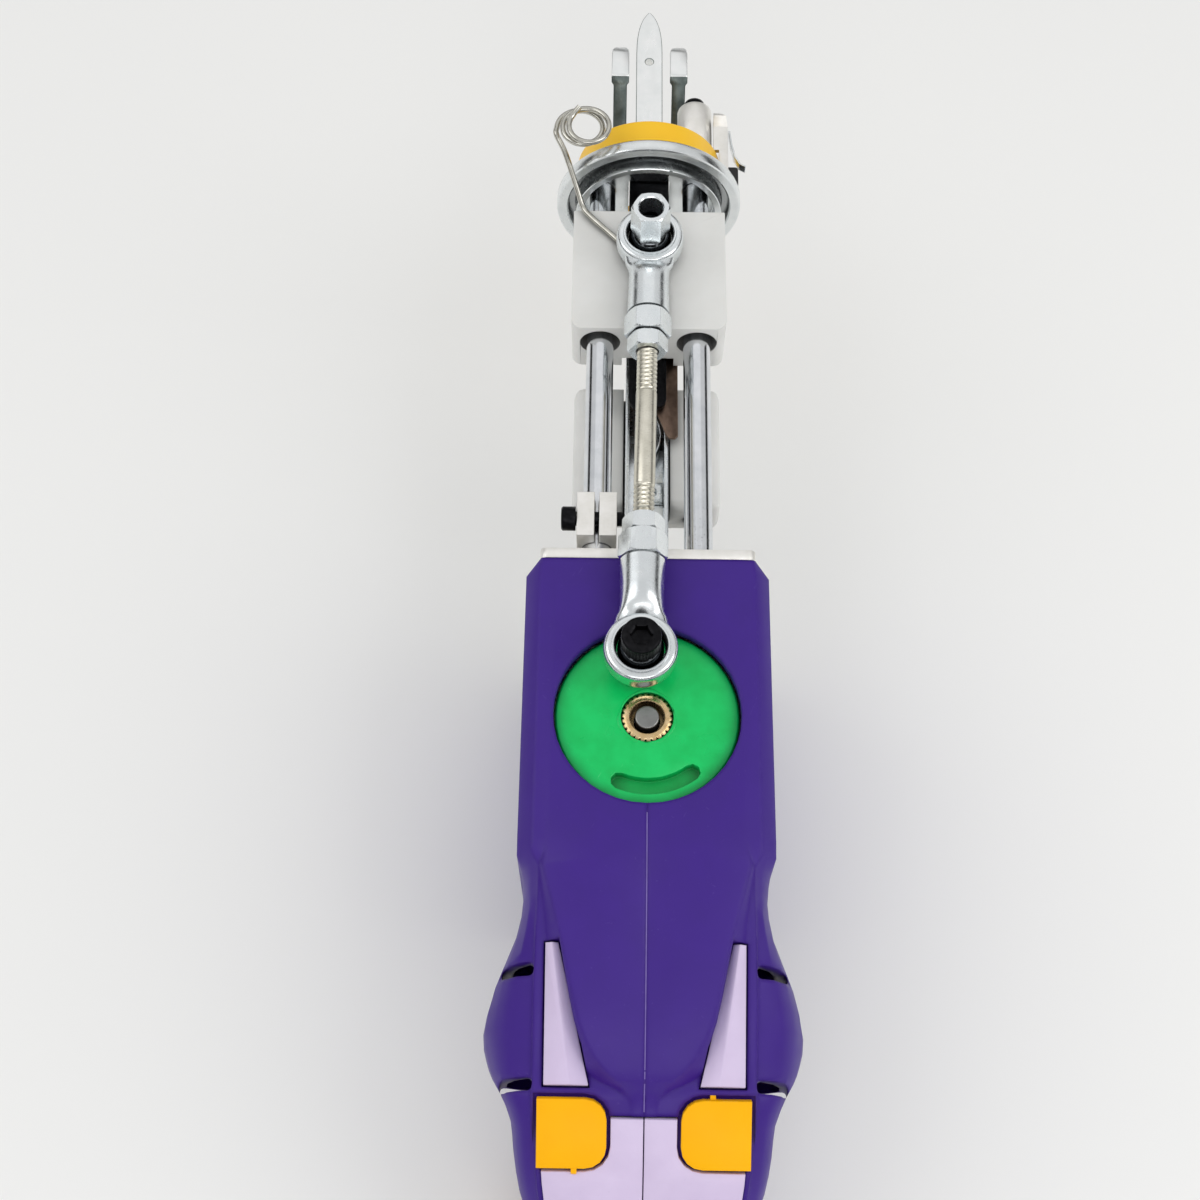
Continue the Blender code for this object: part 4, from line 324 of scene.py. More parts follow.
def make_finishes():
    """Every finish on the machine, by the name of its record slot."""
    # Each finish below also paints shade into its grooves, pockets and corners (shaded_hollow).
    return {
        # Purple ABS, moulded: deep even colour, satin from spark-eroded tooling, painted dark purple shade in
        # its pockets
        "purple_abs": moulded_plastic(
            "purple_moulded_abs", "3C1C84", "371A7A", "6F58A8", 0.42, mottle=0.35, scratches=0.22, specks=0.12,
            hollow_shade_hex="160A38", shine=0.3, corner_mm=1.6),
        # Line along the seam: the same plastic, paler than the housing
        "seam_plastic": moulded_plastic("pale_seam_abs", "7E6CB4", "6A57A2", "9A8BC8", 0.5, shine=0.3),
        # Lavender ABS, moulded: chalky satin with grey specks of dirt, and a little painted shade in its
        # hollows
        "lavender_abs": moulded_plastic(
            "lavender_moulded_abs", "D6C6E4", "CBBADA", "A99ABB", 0.48, scratches=0.15, specks=0.12, hollow_shade=0.2),
        # Yellow ABS, moulded: warm and strong, sheen on its broken edges
        "yellow_abs": moulded_plastic(
            "yellow_moulded_abs", "FFB800", "FAB000", "FFDF80", 0.42, scratches=0.1, hollow_shade=0.1, shine=0.15),
        # Orange nylon ring, moulded: soft, slightly waxy
        "orange_abs": moulded_plastic(
            "orange_moulded_nylon", "FFCB2C", "FFC31E", "FFDF88", 0.38, scratches=0.08, hollow_shade=0.1, shine=0.3),
        # Green ABS wheel, moulded: flow marks round the insert and painted shade in its slot
        "green_abs": moulded_plastic(
            "green_moulded_abs", "0ACB66", "00B957", "7FF0AC", 0.3, mottle_mm=6.0, mottle=0.8, scratches=0.4,
            hollow_shade=0.75, hollow_shade_mm=5.0, hollow_shade_hex="005F2C", shine=0.35),
        # White nylon, sawn and milled: matt, milky, a little light passes into it; painted near-black shade in
        # its bores and where parts touch it
        "white_nylon": moulded_plastic(
            "white_milled_nylon", "E1E1DE", "D8D8D4", "C4C3BE", 0.5, grain_mm=0.5, scratches=0.12, soften=0.2,
            hollow_shade=0.8, hollow_shade_mm=5.0, hollow_shade_hex="151413", shine=0.35),
        # Black rubber, moulded: near black and matt, with pale scuffs
        "black_rubber": moulded_plastic(
            "black_moulded_rubber", "1B1B1C", "232324", "3A3A3B", 0.6, scratches=0.2),
        # Circuit board, lacquered: dark green with a satin film
        "board_green": moulded_plastic("printed_board", "145A36", "1B6B42", "A8B79A", 0.4),
        # Aluminium, sawn and tumbled: pale, fine lines, softly broken shine
        "aluminium": metal(
            "tumbled_aluminium", "FAF8F4", "EFEDE7", 0.46, streak_mm=0.25, streak=(12, 1, 1),
            streak_height=0.006, mottle_mm=4.0, hollow_shade=0.6),
        # Bright zinc plate: bluish silver, slightly uneven bath finish
        "zinc_steel": metal(
            "bright_zinc_plate", "EDF1F2", "E3E8EA", 0.24, streak_mm=3.5, streak_height=0.002, mottle_mm=6.0,
            hollow_shade=0.55, hollow_shade_mm=1.6),
        # Ground and polished rod: mirror-like with fine rings from the grinding wheel, pitted towards its rear
        "ground_steel": metal(
            "ground_rod_steel", "E4E6E9", "D6D9DD", 0.14, streak_mm=0.12, streak=(6, 1, 6),
            streak_height=0.0015, mottle_mm=5.0, pits=1.0, hollow_shade=0.3),
        # Stainless threaded rod, turned: warmer grey, fine lathe rings, painted shade in its thread grooves
        "stud_steel": metal(
            "turned_stainless_rod", "E6E2D4", "D8D4C5", 0.3, streak_mm=0.15, streak=(8, 1, 8), hollow_shade=0.95,
            hollow_shade_mm=1.0),
        # Brass insert, turned and knurled: yellow metal, browner where it has tarnished, with painted shade in
        # its knurls
        "brass": metal(
            "turned_brass", "EACFA2", "D2B07A", 0.26, streak_mm=0.3, mottle_mm=1.8, stain_hex="9A7748",
            stain=0.3, hollow_shade=0.95, hollow_shade_mm=2.2),
        # Bronze-coloured oxide on the lever's steel: brown grey with a soft pressed grain
        "bronze": metal("bronze_oxide_steel", "8A7466", "6F5C50", 0.34, streak=(1, 8, 1)),
        # Black oxide on screws: dark, a little oily
        "black_oxide": metal("black_oxide_steel", "242426", "18181A", 0.36, streak_mm=0.3, mottle_mm=1.5),
        # Needle and fork pads: zinc over polished steel, pale and even
        "pale_zinc": metal(
            "polished_zinc_plate", "FAFBFA", "F0F3F2", 0.3, streak_mm=2.5, streak=(1, 4, 1),
            streak_height=0.002, mottle_mm=5.0, hollow_shade=0.3),
        # Spring wire of the yarn guide, drawn: warm grey with long bright lines
        "spring_wire": metal(
            "drawn_spring_wire", "CFCDC4", "B5B3AA", 0.2, streak_mm=0.3, streak_height=0.0005, hollow_shade=0.6),
        # Rolled edges of the needle: zinc painted grey as their shade and reflection
        "shaded_edge_zinc": metal(
            "zinc_edge_painted_grey", "A9B0AD", "979E9B", 0.3, streak_mm=0.5, streak=(1, 4, 1), streak_height=0.0005,
            mottle_mm=5.0, hollow_shade=0.3),
        # Fork arms below the pads and the ring's window edges: zinc painted dark as their shade and reflection
        "shaded_zinc": metal(
            "drawn_shaded_zinc", "6E7674", "4E5654", 0.34, streak_mm=0.3, streak=(1, 6, 1), streak_height=0.003,
            mottle_mm=4.0),
        # Foot ring: the same plate, with painted shade in its groove and hollow
        "ring_zinc": metal(
            "zinc_plate_shaded_groove", "EDF0F0", "E2E6E7", 0.22, streak_mm=3.5, streak_height=0.002, mottle_mm=6.0,
            hollow_shade=0.8, hollow_shade_mm=3.6),
        # Ball of the rod end: hardened and polished, its colour painted dark as the shade and reflection of the
        # ring round it
        "ball_steel": metal(
            "polished_ball_steel", "8C9094", "74787C", 0.1, streak_mm=0.3, streak_height=0.001, hollow_shade=0.9,
            hollow_shade_mm=2.0),
        # Shaft end, faced on the lathe: grey with fine rings
        "faced_steel": metal(
            "lathe_faced_steel", "9A9A98", "868684", 0.34, streak_mm=0.2, streak_height=0.002, hollow_shade=0.8),
    }


# Making and placing of pieces

UP = (0, 0, 1)
FORWARD = (0, 1, 0)


def slot_of(node):
    return next(entry["material_slot"] for entry in frame["record"]["subparts"] if entry["node"] == node)


def body_of(node):
    bodies = frame["record"]["behaviour"]["bodies"]
    return next(body for body, nodes in bodies.items() if node in nodes)


def box_mm(node):
    """The lowest and highest corners of a node in millimetres."""
    low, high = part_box(node)
    return Vector(low) / MM, Vector(high) / MM


def facing(place, direction):
    """Turns +Z to a direction at a place given in millimetres."""
    turned = Vector(direction).normalized().to_track_quat("Z", "Y").to_matrix().to_4x4()
    return Matrix.Translation(Vector(place) * MM) @ turned


def enlist(piece, node, stands_for):
    """Puts a piece on a node's body, and hides the nodes that it stands for."""
    bpy.context.scene.collection.objects.link(piece)
    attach(piece, body_of(node))
    if stands_for:
        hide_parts(*stands_for)
        shown.update(stands_for)


def add_piece(name, shape, node, stands_for=(), place=None, edge_mm=0.15, angle=34, finish=None, harden=True):
    """A piece from a bmesh, in the finish and on the body of a node, with its sharp edges broken."""
    if place:
        bmesh.ops.transform(shape, matrix=place, verts=shape.verts)
    bmesh.ops.recalc_face_normals(shape, faces=shape.faces)
    data = bpy.data.meshes.new(name)
    shape.to_mesh(data)
    shape.free()
    data.shade_smooth()
    data.materials.append(finishes[finish or slot_of(node)])
    piece = bpy.data.objects.new(name, data)
    if edge_mm:
        step = piece.modifiers.new("broken_edges", "BEVEL")
        step.width = edge_mm * MM
        step.segments = 2
        step.limit_method = "ANGLE"
        step.angle_limit = math.radians(angle)
        step.harden_normals = harden
        step.miter_outer = "MITER_ARC"
    else:
        data.set_sharp_from_angle(angle=math.radians(angle))
    enlist(piece, node, stands_for)
    return piece


def dress(node, edge_mm=0.15, change=None, harden=True):
    """Shows a node with broken edges and smooth round faces. A change works on its mesh first."""
    shape = bmesh.new()
    shape.from_mesh(frame["nodes"][node].data)
    bmesh.ops.remove_doubles(shape, verts=shape.verts, dist=0.001 * MM)
    bmesh.ops.dissolve_limit(shape, angle_limit=math.radians(0.8), verts=shape.verts, edges=shape.edges)
    if change:
        change(shape)
    return add_piece(node + "_finished", shape, node, (node,), edge_mm=edge_mm, harden=harden)


def wire_piece(name, points, radius, node, stands_for):
    """A round wire through points in millimetres."""
    data = bpy.data.curves.new(name, "CURVE")
    data.dimensions = "3D"
    data.bevel_depth = radius * MM
    data.bevel_resolution = 6
    data.resolution_u = 4
    data.use_fill_caps = True
    spline = data.splines.new("POLY")
    spline.points.add(len(points) - 1)
    for point, place in zip(spline.points, points):
        point.co = (*(Vector(place) * MM), 1)
    spline.use_smooth = True
    data.materials.append(finishes["spring_wire"])
    enlist(bpy.data.objects.new(name, data), node, stands_for)


def add_loop(shape, points):
    """A row of vertices at points in millimetres."""
    return [shape.verts.new(Vector(point) * MM) for point in points]


def skinned(shape, loops, joined=False):
    """Walls between rows of vertices. The two ends are capped, or joined to each other."""
    for low, high in zip(loops, loops[1:] + loops[:1] if joined else loops[1:]):
        for k in range(len(low)):
            n = (k + 1) % len(low)
            shape.faces.new((low[k], low[n], high[n], high[k]))
    if not joined:
        shape.faces.new(loops[0])
        shape.faces.new(loops[-1])
    return shape


def ringed(rows, steps=96, joined=False):
    """A round form of rows of (height, radius), closed, or joined last to first as a nut and its bore are.

    A height or a radius may be a function of the angle.
    """
    shape = bmesh.new()
    loops = []
    for height, radius in rows:
        points = []
        for k in range(steps):
            turn = 2 * math.pi * k / steps
            far = radius(turn) if callable(radius) else radius
            high = height(turn) if callable(height) else height
            points.append((far * math.cos(turn), far * math.sin(turn), high))
        loops.append(add_loop(shape, points))
    return skinned(shape, loops, joined)


def box_form(low, high):
    """A plain block between two corners in millimetres."""
    shape = bmesh.new()
    bmesh.ops.create_cube(shape, size=1.0)
    low, high = Vector(low) * MM, Vector(high) * MM
    for vert in shape.verts:
        vert.co = (low + high) / 2 + Vector(a * b for a, b in zip(vert.co, high - low))
    return shape


def bar_form(place, way, radius, length, steps=48):
    """A round bar from a place along a direction, used to carve bores."""
    shape = ringed([(0, radius), (length, radius)], steps)
    bmesh.ops.transform(shape, matrix=facing(place, way), verts=shape.verts)
    return shape


def extruded(outline, low, high):
    """A closed form of an outline of (x, y) in millimetres between two heights."""
    shape = bmesh.new()
    return skinned(shape, [add_loop(shape, [(x, y, z) for x, y in outline]) for z in (low, high)])


def rounded_plan(low, high, rear_round, front_round, steps=8):
    """A rectangle seen from above, with its rear and front corners rounded by different radii."""
    outline = []
    for x, y, r, first in ((high.x, high.y, front_round, 0), (low.x, high.y, front_round, 90),
                           (low.x, low.y, rear_round, 180), (high.x, low.y, rear_round, 270)):
        centre_x, centre_y = x - math.copysign(r, x), y - r if y == high.y else y + r
        for k in range(steps + 1):
            turn = math.radians(first + 90 * k / steps)
            outline.append((centre_x + r * math.cos(turn), centre_y + r * math.sin(turn)))
    return outline


def carved(shape, cutters):
    """The shape less its cutters, as a new mesh."""
    made = []
    for form in [shape] + cutters:
        bmesh.ops.recalc_face_normals(form, faces=form.faces)
        data = bpy.data.meshes.new("carving")
        form.to_mesh(data)
        form.free()
        item = bpy.data.objects.new("carving", data)
        bpy.context.scene.collection.objects.link(item)
        made.append(item)
    for cutter in made[1:]:
        step = made[0].modifiers.new("carve", "BOOLEAN")
        step.operation = "DIFFERENCE"
        step.solver = "EXACT"
        step.object = cutter
    graph = bpy.context.evaluated_depsgraph_get()
    result = bmesh.new()
    result.from_mesh(made[0].evaluated_get(graph).to_mesh())
    bmesh.ops.remove_doubles(result, verts=result.verts, dist=0.002 * MM)
    for item in made:
        data = item.data
        bpy.data.objects.remove(item)
        bpy.data.meshes.remove(data)
    return result


# Threads, nuts and sockets


def hexagon_radius(flats, corner=None):
    """The radius of a hexagon at an angle, limited to the corner radius of its chamfer."""
    def radius(angle):
        inside = angle % (math.pi / 3) - math.pi / 6
        far = flats / 2 / math.cos(inside)
        return min(far, corner) if corner else far
    return radius


def hexagon_rows(flats, chamfer, start, end):
    """Rows of a hexagon bar whose ends are chamfered round, by (depth, radius)."""
    rows = [(start + depth, hexagon_radius(flats, radius)) for depth, radius in chamfer]
    return rows + [(end - depth, hexagon_radius(flats, radius)) for depth, radius in reversed(chamfer)]


def hex_nut(flats, thickness, bore):
    """A chamfered hexagon nut: its flats meet the chamfer cones in curves."""
    top = flats / 2 * 1.02
    chamfer = [(0.0, top), (0.18, top + 0.25), (0.36, top + 0.5), (0.55, top + 0.85), (0.75, top + 1.3)]
    rows = [(0, bore + 0.35)] + hexagon_rows(flats, chamfer, 0, thickness)
    rows += [(thickness, bore + 0.35), (thickness - 0.35, bore), (0.35, bore)]
    return ringed(rows, joined=True)


def thread_rows(radius, pitch, start, end, depth=0.62):
    """Rows of a screw thread, ten to a turn of its pitch, faded out at both ends."""
    rows = []
    count = max(int((end - start) / pitch * 10), 2)
    for k in range(count + 1):
        height = start + (end - start) * k / count
        fade = min(1.0, (height - start) / pitch, (end - height) / pitch)

        def cut(turn, height=height, fade=fade):
            phase = (height / pitch - turn / (2 * math.pi)) % 1.0
            return radius - depth * fade * abs(2 * phase - 1)
        rows.append((height, cut))
    return rows


def socket_head_rows(radius, height, flats, depth, knurls):
    """Rows of a knurled socket head from its underside to the floor of its hexagon socket."""
    def rim(turn):
        return radius - 0.13 * abs(math.sin(turn * knurls / 2))
    socket = hexagon_radius(flats)
    return [(0.0, radius - 0.3), (0.3, radius), (0.4, rim), (height - 0.9, rim), (height - 0.75, radius - 0.02),
            (height - 0.35, radius - 0.12), (height, radius - 0.55), (height, flats / 2 * 1.22),
            (height - 0.3, socket), (height - depth, socket), (height - depth - 0.5, 0.2)]


def button_screw(name, place, way, node, radius=2.9):
    """A button-head socket screw on a face."""
    socket = hexagon_radius(2.6)
    rows = [(0.0, radius), (0.35, radius), (0.9, radius * 0.86), (1.35, radius * 0.6), (1.4, 1.75),
            (1.38, socket), (0.4, socket), (0.2, 0.2)]
    piece = add_piece(name, ringed(rows, 48), node, (), facing(place, way), 0, 40, "black_oxide")


# Connecting rod

REAR_EYE = Vector((-2.01, 14.86, 107.1))
FRONT_EYE = Vector((0.0, 146.85, 107.1))
ROD_WAY = (FRONT_EYE - REAR_EYE).normalized()
ROD_LENGTH = 132.0
EYE_RADIUS = 9.9
EYE_HALF = 3.37
# Where a nut or a screw's head sits on the ball of a rod end
SEAT_Z = 111.9
SPACER_Z = 97.3
SCREW_TIP_Z = 97.6
STUD_FOOT_Z = 90.8
RACE_RADIUS = 7.0
COLLAR_START = 26.9
COLLAR_END = 34.0
COLLAR_FLATS = 12.0
COLLAR_CORNER = 6.85
STUD_RADIUS = 3.0
STUD_START = 20.0
# An M6 thread of 1 mm pitch, drawn at 1.4 mm as the photograph shows about one crest for each
THREAD_PITCH = 1.4


def eye_head(name, eye, node):
    """The forged ring of a rod end, with a raised race and softly rounded rims."""
    r, h, race = EYE_RADIUS, EYE_HALF, RACE_RADIUS
    half = [(1.3, r), (h - 1.1, r - 0.12), (h - 0.5, r - 0.4), (h - 0.12, r - 0.85), (h, r - 1.3),
            (h, race + 0.85), (h + 0.32, race + 0.7), (h + 0.36, race + 0.25), (h + 0.15, race)]
    bore = [(2.6, race - 0.2), (1.2, race - 0.5), (-1.2, race - 0.5), (-2.6, race - 0.2)]
    rows = [(-height, radius) for height, radius in reversed(half)] + half + bore
    add_piece(name, ringed(rows, 128, True), node, (node,), facing(eye, UP), 0)


def eye_shank(name, eye, way, node):
    """Shoulders that flow from the ring into a round shank, lofted along the rod."""
    side = Vector(UP).cross(way) * -1
    # Distance from the eye, half width, half height and squareness. The first two hug the ring.
    stations = ((None, 8.3, 2.7, 2.6), (None, 7.7, 2.8, 2.5), (9.4, 6.9, 3.0, 2.4), (10.4, 6.3, 3.5, 2.3),
                (11.4, 6.02, 4.3, 2.2), (12.6, 5.92, 5.0, 2.15), (14.0, 5.9, 5.5, 2.1),
                (15.6, 5.88, 5.75, 2.05), (18.0, 5.9, 5.84, 2.0), (22.0, 6.0, 5.9, 2.0),
                (26.2, 6.1, 6.0, 2.0), (26.4, 5.5, 5.4, 2.0), (27.3, 5.5, 5.4, 2.0))
    steps = 64
    shape = bmesh.new()
    loops = []
    for row, (along, wide, high, power) in enumerate(stations):
        points = []
        for k in range(steps):
            turn = 2 * math.pi * k / steps
            c, s = math.cos(turn), math.sin(turn)
            across = wide * math.copysign(abs(c) ** (2 / power), c)
            up = high * math.copysign(abs(s) ** (2 / power), s)
            reach = along if along else math.sqrt(max((8.3 + row * 1.0) ** 2 - across ** 2, 9.0))
            points.append(eye + way * reach + side * across + Vector((0, 0, up)))
        loops.append(add_loop(shape, points))
    add_piece(name, skinned(shape, loops), node, (), None, 0, 50)


def eye_collar(name, eye, way, node):
    """The hexagon end of a rod end, chamfered round at both ends, with its threaded mouth."""
    chamfer = [(0.0, 6.02), (0.12, 6.2), (0.3, 6.5), (0.55, COLLAR_CORNER)]
    bore = STUD_RADIUS + 0.15
    rows = hexagon_rows(COLLAR_FLATS, chamfer, COLLAR_START, COLLAR_END)
    rows += [(COLLAR_END, 4.0), (COLLAR_END - 0.6, bore), (COLLAR_START + 0.1, bore)]
    add_piece(name, ringed(rows, joined=True), node, (), facing(eye, way), 0.08, 25)


def rod_ends():
    arc = [math.radians(-45.5 + 91.0 * k / 20) for k in range(21)]
    ball_rows = [(-4.5, 3.3)] + [(6.3 * math.sin(a), 6.3 * math.cos(a)) for a in arc] + [(4.5, 3.3)]
    for label, eye, way in (("rear", REAR_EYE, ROD_WAY), ("front", FRONT_EYE, -ROD_WAY)):
        node, nut, ball = "rod_end_" + label, "jam_nut_" + label, label + "_ball"
        eye_head(label + "_eye_ring", eye, node)
        eye_shank(label + "_eye_shank", eye, way, node)
        eye_collar(label + "_eye_collar", eye, way, node)
        add_piece(nut + "_turned", hex_nut(10.2, 5.0, STUD_RADIUS + 0.1), nut, (nut,),
                  facing(eye + way * (COLLAR_END + 0.3), way), 0.05, 25)
        add_piece(ball + "_turned", ringed(ball_rows, joined=True), ball, (ball,), facing(eye, UP), 0.05, 30,
                  "ball_steel")


def threaded_stud():
    """The rod between the rod ends: rolled threads at both ends and a plain waist."""
    length = ROD_LENGTH - 2 * STUD_START
    r = STUD_RADIUS
    rows = [(0.0, r - 0.5), (0.5, r)] + thread_rows(r, THREAD_PITCH, 16.0, 29.6)
    rows += thread_rows(r, THREAD_PITCH, length - 33.3, length - 16.0) + [(length - 0.5, r), (length, r - 0.5)]
    add_piece("conrod_stud_threaded", ringed(rows, 48), "conrod_stud", ("conrod_stud",),
              facing(REAR_EYE + ROD_WAY * STUD_START, ROD_WAY), 0, 60)


def crank_fasteners():
    """The socket screw that holds the rear rod end, and the hexagon spacer under it."""
    tip = SCREW_TIP_Z - SEAT_Z
    rows = [(tip, 0.2), (tip, 2.6)] + thread_rows(3.0, 1.0, tip + 0.4, -0.3)
    rows += socket_head_rows(5.3, 5.6, 5.0, 3.0, 36)
    add_piece("crank_screw_knurled", ringed(rows, 144), "crank_screw", ("crank_screw",),
              facing((REAR_EYE.x, REAR_EYE.y, SEAT_Z), UP), 0, 40)
    add_piece("crank_spacer_hexagon", hex_nut(12.4, 5.4, 3.3), "crank_spacer", ("crank_spacer",),
              facing((REAR_EYE.x, REAR_EYE.y, SPACER_Z), UP), 0.05, 25)


def slider_fasteners():
    """The long hexagon nut on the slider's stud, open at its top."""
    add_piece("stud_nut_long", hex_nut(10.0, 10.8, 3.5), "stud_nut", ("stud_nut",),
              facing((0, FRONT_EYE.y, SEAT_Z), UP), 0.05, 25)
    rows = [(0, 2.6)] + thread_rows(3.0, THREAD_PITCH, 0.3, 24.4) + [(24.6, 2.4)]
    add_piece("slider_stud_threaded", ringed(rows, 32), "slider_stud", ("slider_stud",),
              facing((0, FRONT_EYE.y, STUD_FOOT_Z), UP), 0, 60, "black_oxide")


# Wheel

WHEEL_RIM = 23.5
WHEEL_TOP = 96.9
HUB_FOOT = 89.2
KNURL_RADIUS = 6.85
KNURL_COUNT = 26
SHAFT_RADIUS = 3.3


def wheel_pieces():
    """The knurled insert, the faced end of the motor shaft and the flash round the insert."""
    def knurl(angle):
        return KNURL_RADIUS - 0.5 * max(0.0, math.sin(angle * KNURL_COUNT)) ** 0.6
    rows = [(0.4, 3.6), (0.4, 6.0), (0.9, knurl), (7.2, knurl), (7.45, 6.15), (7.6, 5.9), (7.6, 4.85),
            (7.35, 4.6), (3.6, 4.55), (3.6, 3.6)]
    add_piece("hub_insert_knurled", ringed(rows, 208, True), "hub_insert", ("hub_insert",),
              facing((0, 0, HUB_FOOT), UP), 0, 40)
    low, high = box_mm("motor_shaft")
    tall = high.z - low.z
    r = SHAFT_RADIUS
    rows = [(0.0, 0.2), (0.0, r - 0.3), (0.3, r), (tall - 0.45, r), (tall - 0.1, r - 0.2), (tall, r - 0.45)]
    rows += [(tall - 0.06 * (k % 2), 2.6 - 0.26 * k) for k in range(9)]
    add_piece("motor_shaft_turned", ringed(rows), "motor_shaft", ("motor_shaft",),
              facing((0, 0, low.z), UP), 0, 40, "faced_steel")

    def flash_outer(turn):
        return 7.9 + 0.3 * math.sin(3 * turn + 0.4) + 0.2 * math.sin(7 * turn)
    rows = [(0, 7.0), (0, flash_outer), (0.22, lambda turn: flash_outer(turn) - 0.3), (0.25, 7.25), (0.1, 7.0)]
    add_piece("wheel_flash_ring", ringed(rows, joined=True), "crank_wheel", (),
              facing((0, 0, WHEEL_TOP), UP), 0, 60)


def fill_opening(shape):
    """Brings the wheel's rim close to the housing's opening."""
    for vert in shape.verts:
        far = math.hypot(vert.co.x, vert.co.y)
        if far > WHEEL_RIM * MM:
            grow = 1 + 0.25 * MM / far
            vert.co.x *= grow
            vert.co.y *= grow


# Rods and foot

GUIDE_X = 14.3
GUIDE_Z = 92.8
GUIDE_RADIUS = 4.0
LOWER_ROD_RADIUS = 3.0
RING_PLACE = (0, 177.0, 87.3)
# The ring's window, drawn close round the needle holder
WINDOW_HALF = 6.3
WINDOW_LOW = 76.5
WINDOW_TOP = 97.4
# Where the fork's polished pads begin along Y
PAD_START = 218.5
# The yarn guide's loop round the stud, and its coiled eyelet
WIRE_RADIUS = 0.85
LOOP_RADIUS = 4.2
LOOP_HEIGHT = 101.55
COIL_RADIUS = 6.45
COIL_TURNS = 2.08
COIL_STEPS = 50


def plain_rod(node, radius):
    """A ground rod with a turned chamfer at each end, at its node's own place along Y."""
    low, high = box_mm(node)
    middle = (low + high) / 2
    length = high.y - low.y
    rows = [(0, radius - 0.5), (0.5, radius), (length - 0.5, radius), (length, radius - 0.5)]
    add_piece(node + "_ground", ringed(rows), node, (node,),
              facing((middle.x, low.y, middle.z), FORWARD), 0, 30)


def smooth_line(points, steps):
    """Points along a Catmull-Rom curve."""
    line = []
    for k in range(len(points) - 1):
        a, b = points[max(k - 1, 0)], points[k]
        c, d = points[k + 1], points[min(k + 2, len(points) - 1)]
        for s in range(steps):
            t = s / steps
            line.append(0.5 * (2 * b + (c - a) * t + (2 * a - 5 * b + 4 * c - d) * t ** 2
                               + (3 * b - a - 3 * c + d) * t ** 3))
    return line + [points[-1]]


def yarn_guide_wire():
    """The sprung wire: a loop round the stud, a bent leg, two coil turns and a short raised tail."""
    stud = Vector((0, FRONT_EYE.y, LOOP_HEIGHT))
    points = []
    for k in range(34):
        turn = math.radians(150 - 286 * k / 33)
        points.append(stud + LOOP_RADIUS * Vector((math.cos(turn), math.sin(turn), 0)))
    rise = Vector((1.9, -1.5, 2.6))
    coil = Vector((-19.9, 180.85, 116.5)) - rise
    knee = Vector((-19.5, 160.55, 102.1))
    join = coil + Vector((-COIL_RADIUS, 0, 0))
    start = points[-1]
    way = (points[-1] - points[-2]).normalized()
    leg = [start, start + way * 2.5, start.lerp(knee, 0.5), start.lerp(knee, 0.88),
           knee + Vector((-0.5, 1.4, 0.2)), knee.lerp(join, 0.3), knee.lerp(join, 0.7),
           join + Vector((0, -2.5, -0.2)), join]
    points += smooth_line(leg, 6)[1:-1]
    for k in range(round(COIL_TURNS * COIL_STEPS)):
        turn = k / COIL_STEPS
        angle = math.pi - 2 * math.pi * turn
        points.append(coil + rise * turn + COIL_RADIUS * Vector((math.cos(angle), math.sin(angle), 0)))
    end = points[-1]
    points += [end + Vector((0.6, 0.9, 0.3)), end + Vector((1.6, 2.2, 0.9)), end + Vector((2.6, 3.0, 1.6))]
    wire_piece("yarn_guide_wire", points, WIRE_RADIUS, "yarn_guide", ("yarn_guide",))


def ring_pieces():
    """The pressed foot ring, with a groove between two rims, a window and the rod holes, and its collar."""
    rows = [(-1.2, 0.4), (-1.2, 20.3), (-1.4, 20.5), (-6.3, 20.52), (-6.5, 20.7), (-6.5, 22.4), (-6.3, 22.6),
            (-1.5, 22.62), (-1.2, 22.9), (-1.2, 24.7), (-1.5, 25.0), (-3.6, 25.05), (-4.0, 25.5), (-4.0, 27.9),
            (-3.75, 28.35), (-3.3, 28.5), (-0.7, 28.52), (-0.25, 28.35), (0.0, 27.9), (0.0, 0.4)]
    shape = ringed(rows, 144)
    bmesh.ops.transform(shape, matrix=facing(RING_PLACE, FORWARD), verts=shape.verts)
    cutters = [box_form((-WINDOW_HALF, 170, WINDOW_LOW), (WINDOW_HALF, 184, WINDOW_TOP))]
    cutters += [bar_form((x, 170, GUIDE_Z), FORWARD, GUIDE_RADIUS + 0.25, 14) for x in (-GUIDE_X, GUIDE_X)]
    ring = add_piece("foot_ring_pressed", carved(shape, cutters), "foot_ring", ("foot_ring",), None, 0, 28,
                     "ring_zinc")
    # The window's edge faces take the darker zinc: painted shade inside the window.
    ring.data.materials.append(finishes["shaded_zinc"])
    for face in ring.data.polygons:
        x, z = abs(face.center.x) / MM, face.center.z / MM
        on_edge = x < WINDOW_HALF and min(abs(z - WINDOW_LOW), abs(z - WINDOW_TOP)) < 0.02
        if on_edge or abs(x - WINDOW_HALF) < 0.02:
            face.material_index = 1
    collar = [(0.2, 20.4), (0.2, 22.3), (11.6, 22.3), (12.0, 22.1), (12.2, 21.7), (12.2, 20.6), (12.0, 20.4)]
    add_piece("foot_collar_moulded", ringed(collar, 144, True), "foot_collar", ("foot_collar",),
              facing(RING_PLACE, FORWARD), 0, 50)


def split_pads(shape):
    bmesh.ops.bisect_plane(shape, geom=shape.verts[:] + shape.edges[:] + shape.faces[:],
                           plane_co=(0, PAD_START * MM, 0), plane_no=FORWARD)


def fork_with_shaded_arms():
    """The fork's pads are pale zinc. Its arms take a darker zinc: painted shade and reflection."""
    fork = dress("foot_fork", 0.35, split_pads)
    fork.data.materials.clear()
    fork.data.materials.append(finishes["pale_zinc"])
    fork.data.materials.append(finishes["shaded_zinc"])
    for face in fork.data.polygons:
        face.material_index = 1 if face.center.y < PAD_START * MM else 0


# Slider, clamp, needle and boss

